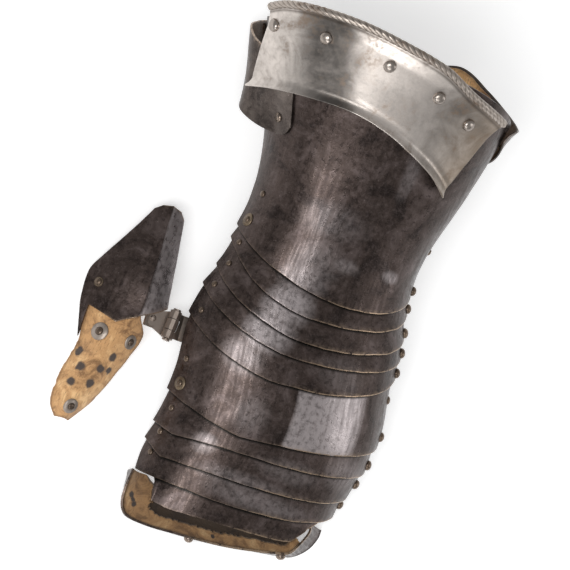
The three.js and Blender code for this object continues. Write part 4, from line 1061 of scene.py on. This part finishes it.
# %% Leather
def leather(name, spots=(), pale=1.0):
    f = Finish(name)
    clouds, fibre = f.noise(11, 4, 0.6, warp=1.0), f.noise(0.9, 4, 0.7, warp=1.5)
    streak = f.noise(1.2, 3, 0.6, where=f.stretched(0.35, 1.4))
    colour = f.ramp(clouds, (0.32, (0.15, 0.075, 0.03)), (0.5, (0.36, 0.2, 0.085)),
                    (0.68, (0.52, 0.33, 0.16)))
    colour = f.blend(f.between(fibre, 0.5, 0.75, (0, 0.4)), colour, (0.6, 0.42, 0.24))
    colour = f.blend(f.between(streak, 0.46, 0.3, (0, 0.6)), colour, (0.13, 0.07, 0.03))
    soiled = f.between(f.note("edge_mm"), 1.6, 0.2, (0, 0.5))
    colour = f.blend(soiled, colour, (0.1, 0.055, 0.025))
    for at, size in spots:
        away = f.add("ShaderNodeVectorMath", {0: f.place, 1: at}, 1, operation="DISTANCE")
        away = f.math("ADD", away, f.between(f.noise(3.5), 0.3, 0.7, (-0.5 * MM, 0.5 * MM)))
        mark = f.between(away, size * 1.2 * MM, size * 0.65 * MM)
        colour = f.blend(mark, colour, (0.045, 0.032, 0.026))
    colour = f.blend(1.0, colour, (pale, pale, pale), "MULTIPLY")
    # Near black deep in the fold at the fingertips: painted shade under the finger lame.
    painted_fold_shade = f.note("deep")
    colour = f.blend(painted_fold_shade, colour, (0.02, 0.013, 0.009))
    relief = f.bump(f.noise(5, 3), 0.3)
    relief = f.bump(fibre, 0.18, relief)
    relief = f.bump(streak, 0.12, relief)
    rough = f.between(fibre, 0.3, 0.7, (0.75, 0.95))
    return f.set(colour=colour, rough=rough, metal=0.0, normal=relief, sheen=0.15)


# The holes are not cut: each is a dark spot painted on the leather, painted shade for the dark
# inside.
HOLES = [(-56, -123.5, 1.7), (-54.3, -125.6, 1.7), (-52.8, -127.6, 1.6), (-6, -130.6, 1.0)]
IRON_MARKS = [(-104, -61, 2.8), (-88, -59, 2.6), (-103, -69, 2.8), (-93, -67.5, 2.6),
              (-105.5, -77.5, 2.6), (-96, -76, 3.0), (-87, -66.5, 2.0)]


def marks_on(piece, marks):
    """Each mark's place and size, lifted to the point of the piece over x and y."""
    points = np.array([v.co for v in made[piece].data.vertices])
    return [(tuple(points[np.argmin(np.hypot(*(points - placed(x, y, 0))[:, :2].T))].tolist()),
             size) for x, y, size in marks]


marked = leather("thumb_leather", marks_on("thumb_hide", IRON_MARKS), 1.5)
worn_through = leather("end_leather", marks_on("end_leather", HOLES), 0.9)
# A paler copy of the leather for the lining: painted light against the shade of the rim.
lining = leather("lining_leather", pale=2.1)
print("leathers:", marked.name, worn_through.name, lining.name)

# %% [markdown]
# ## Which piece has which finish
# Blackened plates, a bright band and a bare steel hinge. Each row of the list also names the slot
# of the solid the piece stands for, but the pieces do not take it.

# %% Finishes and slots
WEARS = [("cuff_iron", blackened, "blackened"), ("thumb_iron", blackened, "blackened"),
         ("band_steel", band_steel, "band_steel"), ("band_rope", rope_steel, "band_steel"),
         ("band_rivets", dome_steel, "band_steel"), ("inner_plate_iron", dull, "inner_steel"),
         ("inner_plate_rivets", dull, "inner_steel"), ("end_lame_iron", blackened, "inner_steel"),
         ("end_lame_rivets", dull, "inner_steel"), ("inner_lining_leather", lining, "leather"),
         ("end_leather", worn_through, "leather"), ("thumb_hide", marked, "leather")]
WEARS += [(spec["name"] + "_iron", blackened, "blackened") for spec in LAMES]
WEARS += [("thumb_leather_washers", ring_iron, "blackened")]
WEARS += [(name, brass, "blackened") for name in made
          if name.endswith("washers") and name != "thumb_leather_washers"]
done = {name for name, _, _ in WEARS}
WEARS += [(name, rivet_iron, "blackened") for name in made if name not in done]
for name, finish, slot in WEARS:
    made[name].data.materials.clear()
    made[name].data.materials.append(finish)
for node in ("hinge_leaf_hand", "hinge_leaf_thumb", "hinge_pin"):
    piece = frame["nodes"][node]
    filed(piece, 0.2, 40)
    for spot in piece.material_slots:
        spot.material = hinge_steel
print("pieces with a finish:", len(WEARS) + 3)

# %% [markdown]
# ## Table, light and view
# A large soft light stands above and to the thumb side, where its reflection runs down the
# rounded back of the glove, and a weaker one opposite draws the far edge. The view is from high
# above the palm-down glove, turned so that the cuff points up and to the right.

# %% Table
TABLE = 1.6
mesh = bpy.data.meshes.new("table_top")
corners = [(x * TABLE, y * TABLE, -0.0002) for x, y in ((-1, -1), (1, -1), (1, 1), (-1, 1))]
mesh.from_pydata(corners, [], [(0, 1, 2, 3)])
table_top = in_scene("table_top", mesh)
paper = Finish("white_paper")
paper.set(colour=paper.blend(paper.between(paper.noise(60), 0.3, 0.7), (0.9, 0.9, 0.9),
                             (0.93, 0.93, 0.93)), rough=0.9)
paper.shader.inputs["Emission Color"].default_value = (1, 1, 1, 1)
paper.shader.inputs["Emission Strength"].default_value = 0.4
mesh.materials.append(paper.material)
print("table:", 2 * TABLE, "m wide")

# %% Lights
world = bpy.data.worlds.new("studio")
world.use_nodes = True
world.node_tree.nodes["Background"].inputs[0].default_value = (1.0, 1.0, 1.0, 1)
world.node_tree.nodes["Background"].inputs[1].default_value = 0.42
bpy.context.scene.world = world
middle = Vector((0.0, 0.0, 0.03))


def soft_light(name, where, size, watts):
    lamp = bpy.data.lights.new(name, "AREA")
    lamp.shape, lamp.size, lamp.size_y = "RECTANGLE", *size
    lamp.energy = watts
    holder = in_scene(name, lamp)
    holder.location = middle + Vector(where)
    holder.rotation_euler = (-Vector(where)).to_track_quat("-Z", "Y").to_euler()
    holder.visible_camera = False


soft_light("key", (-0.66, -0.34, 1.0), (0.34, 0.75), 7.5)
soft_light("fill", (1.05, -0.1, 0.6), (0.4, 0.8), 2)
soft_light("low", (-0.2, -1.2, 0.7), (0.9, 0.35), 5)
print("lights:", len(bpy.data.lights))

# %% Camera
RIGHT, TOWARDS = Vector((0.8764, 0.2762, 0.3945)), Vector((-0.3746, -0.1291, 0.9182))
DISTANCE, VIEW_WIDTH, SENSOR = 8.0, 0.2964, 36.0
lens = bpy.data.cameras.new("camera")
lens.sensor_width, lens.clip_end = SENSOR, 400
lens.lens = SENSOR * DISTANCE / VIEW_WIDTH
camera = in_scene("camera", lens)
aim = Vector(placed(-8.04, 5.66, 15.1))
camera.location = aim + DISTANCE * TOWARDS
# First the exact direction, then a turn about it. The long lens would show any error in it.
camera.rotation_euler = TOWARDS.to_track_quat("Z", "Y").to_euler()
roll = camera.rotation_euler.to_matrix() @ Vector((1, 0, 0))
twist = math.atan2(roll.cross(RIGHT).dot(TOWARDS), roll.dot(RIGHT))
camera.rotation_euler = (camera.rotation_euler.to_matrix()
                         @ Matrix.Rotation(twist, 3, "Z")).to_euler()
bpy.context.scene.camera = camera
bpy.context.scene.view_settings.view_transform = "Standard"
print("lens:", round(lens.lens), "mm at", DISTANCE, "m")
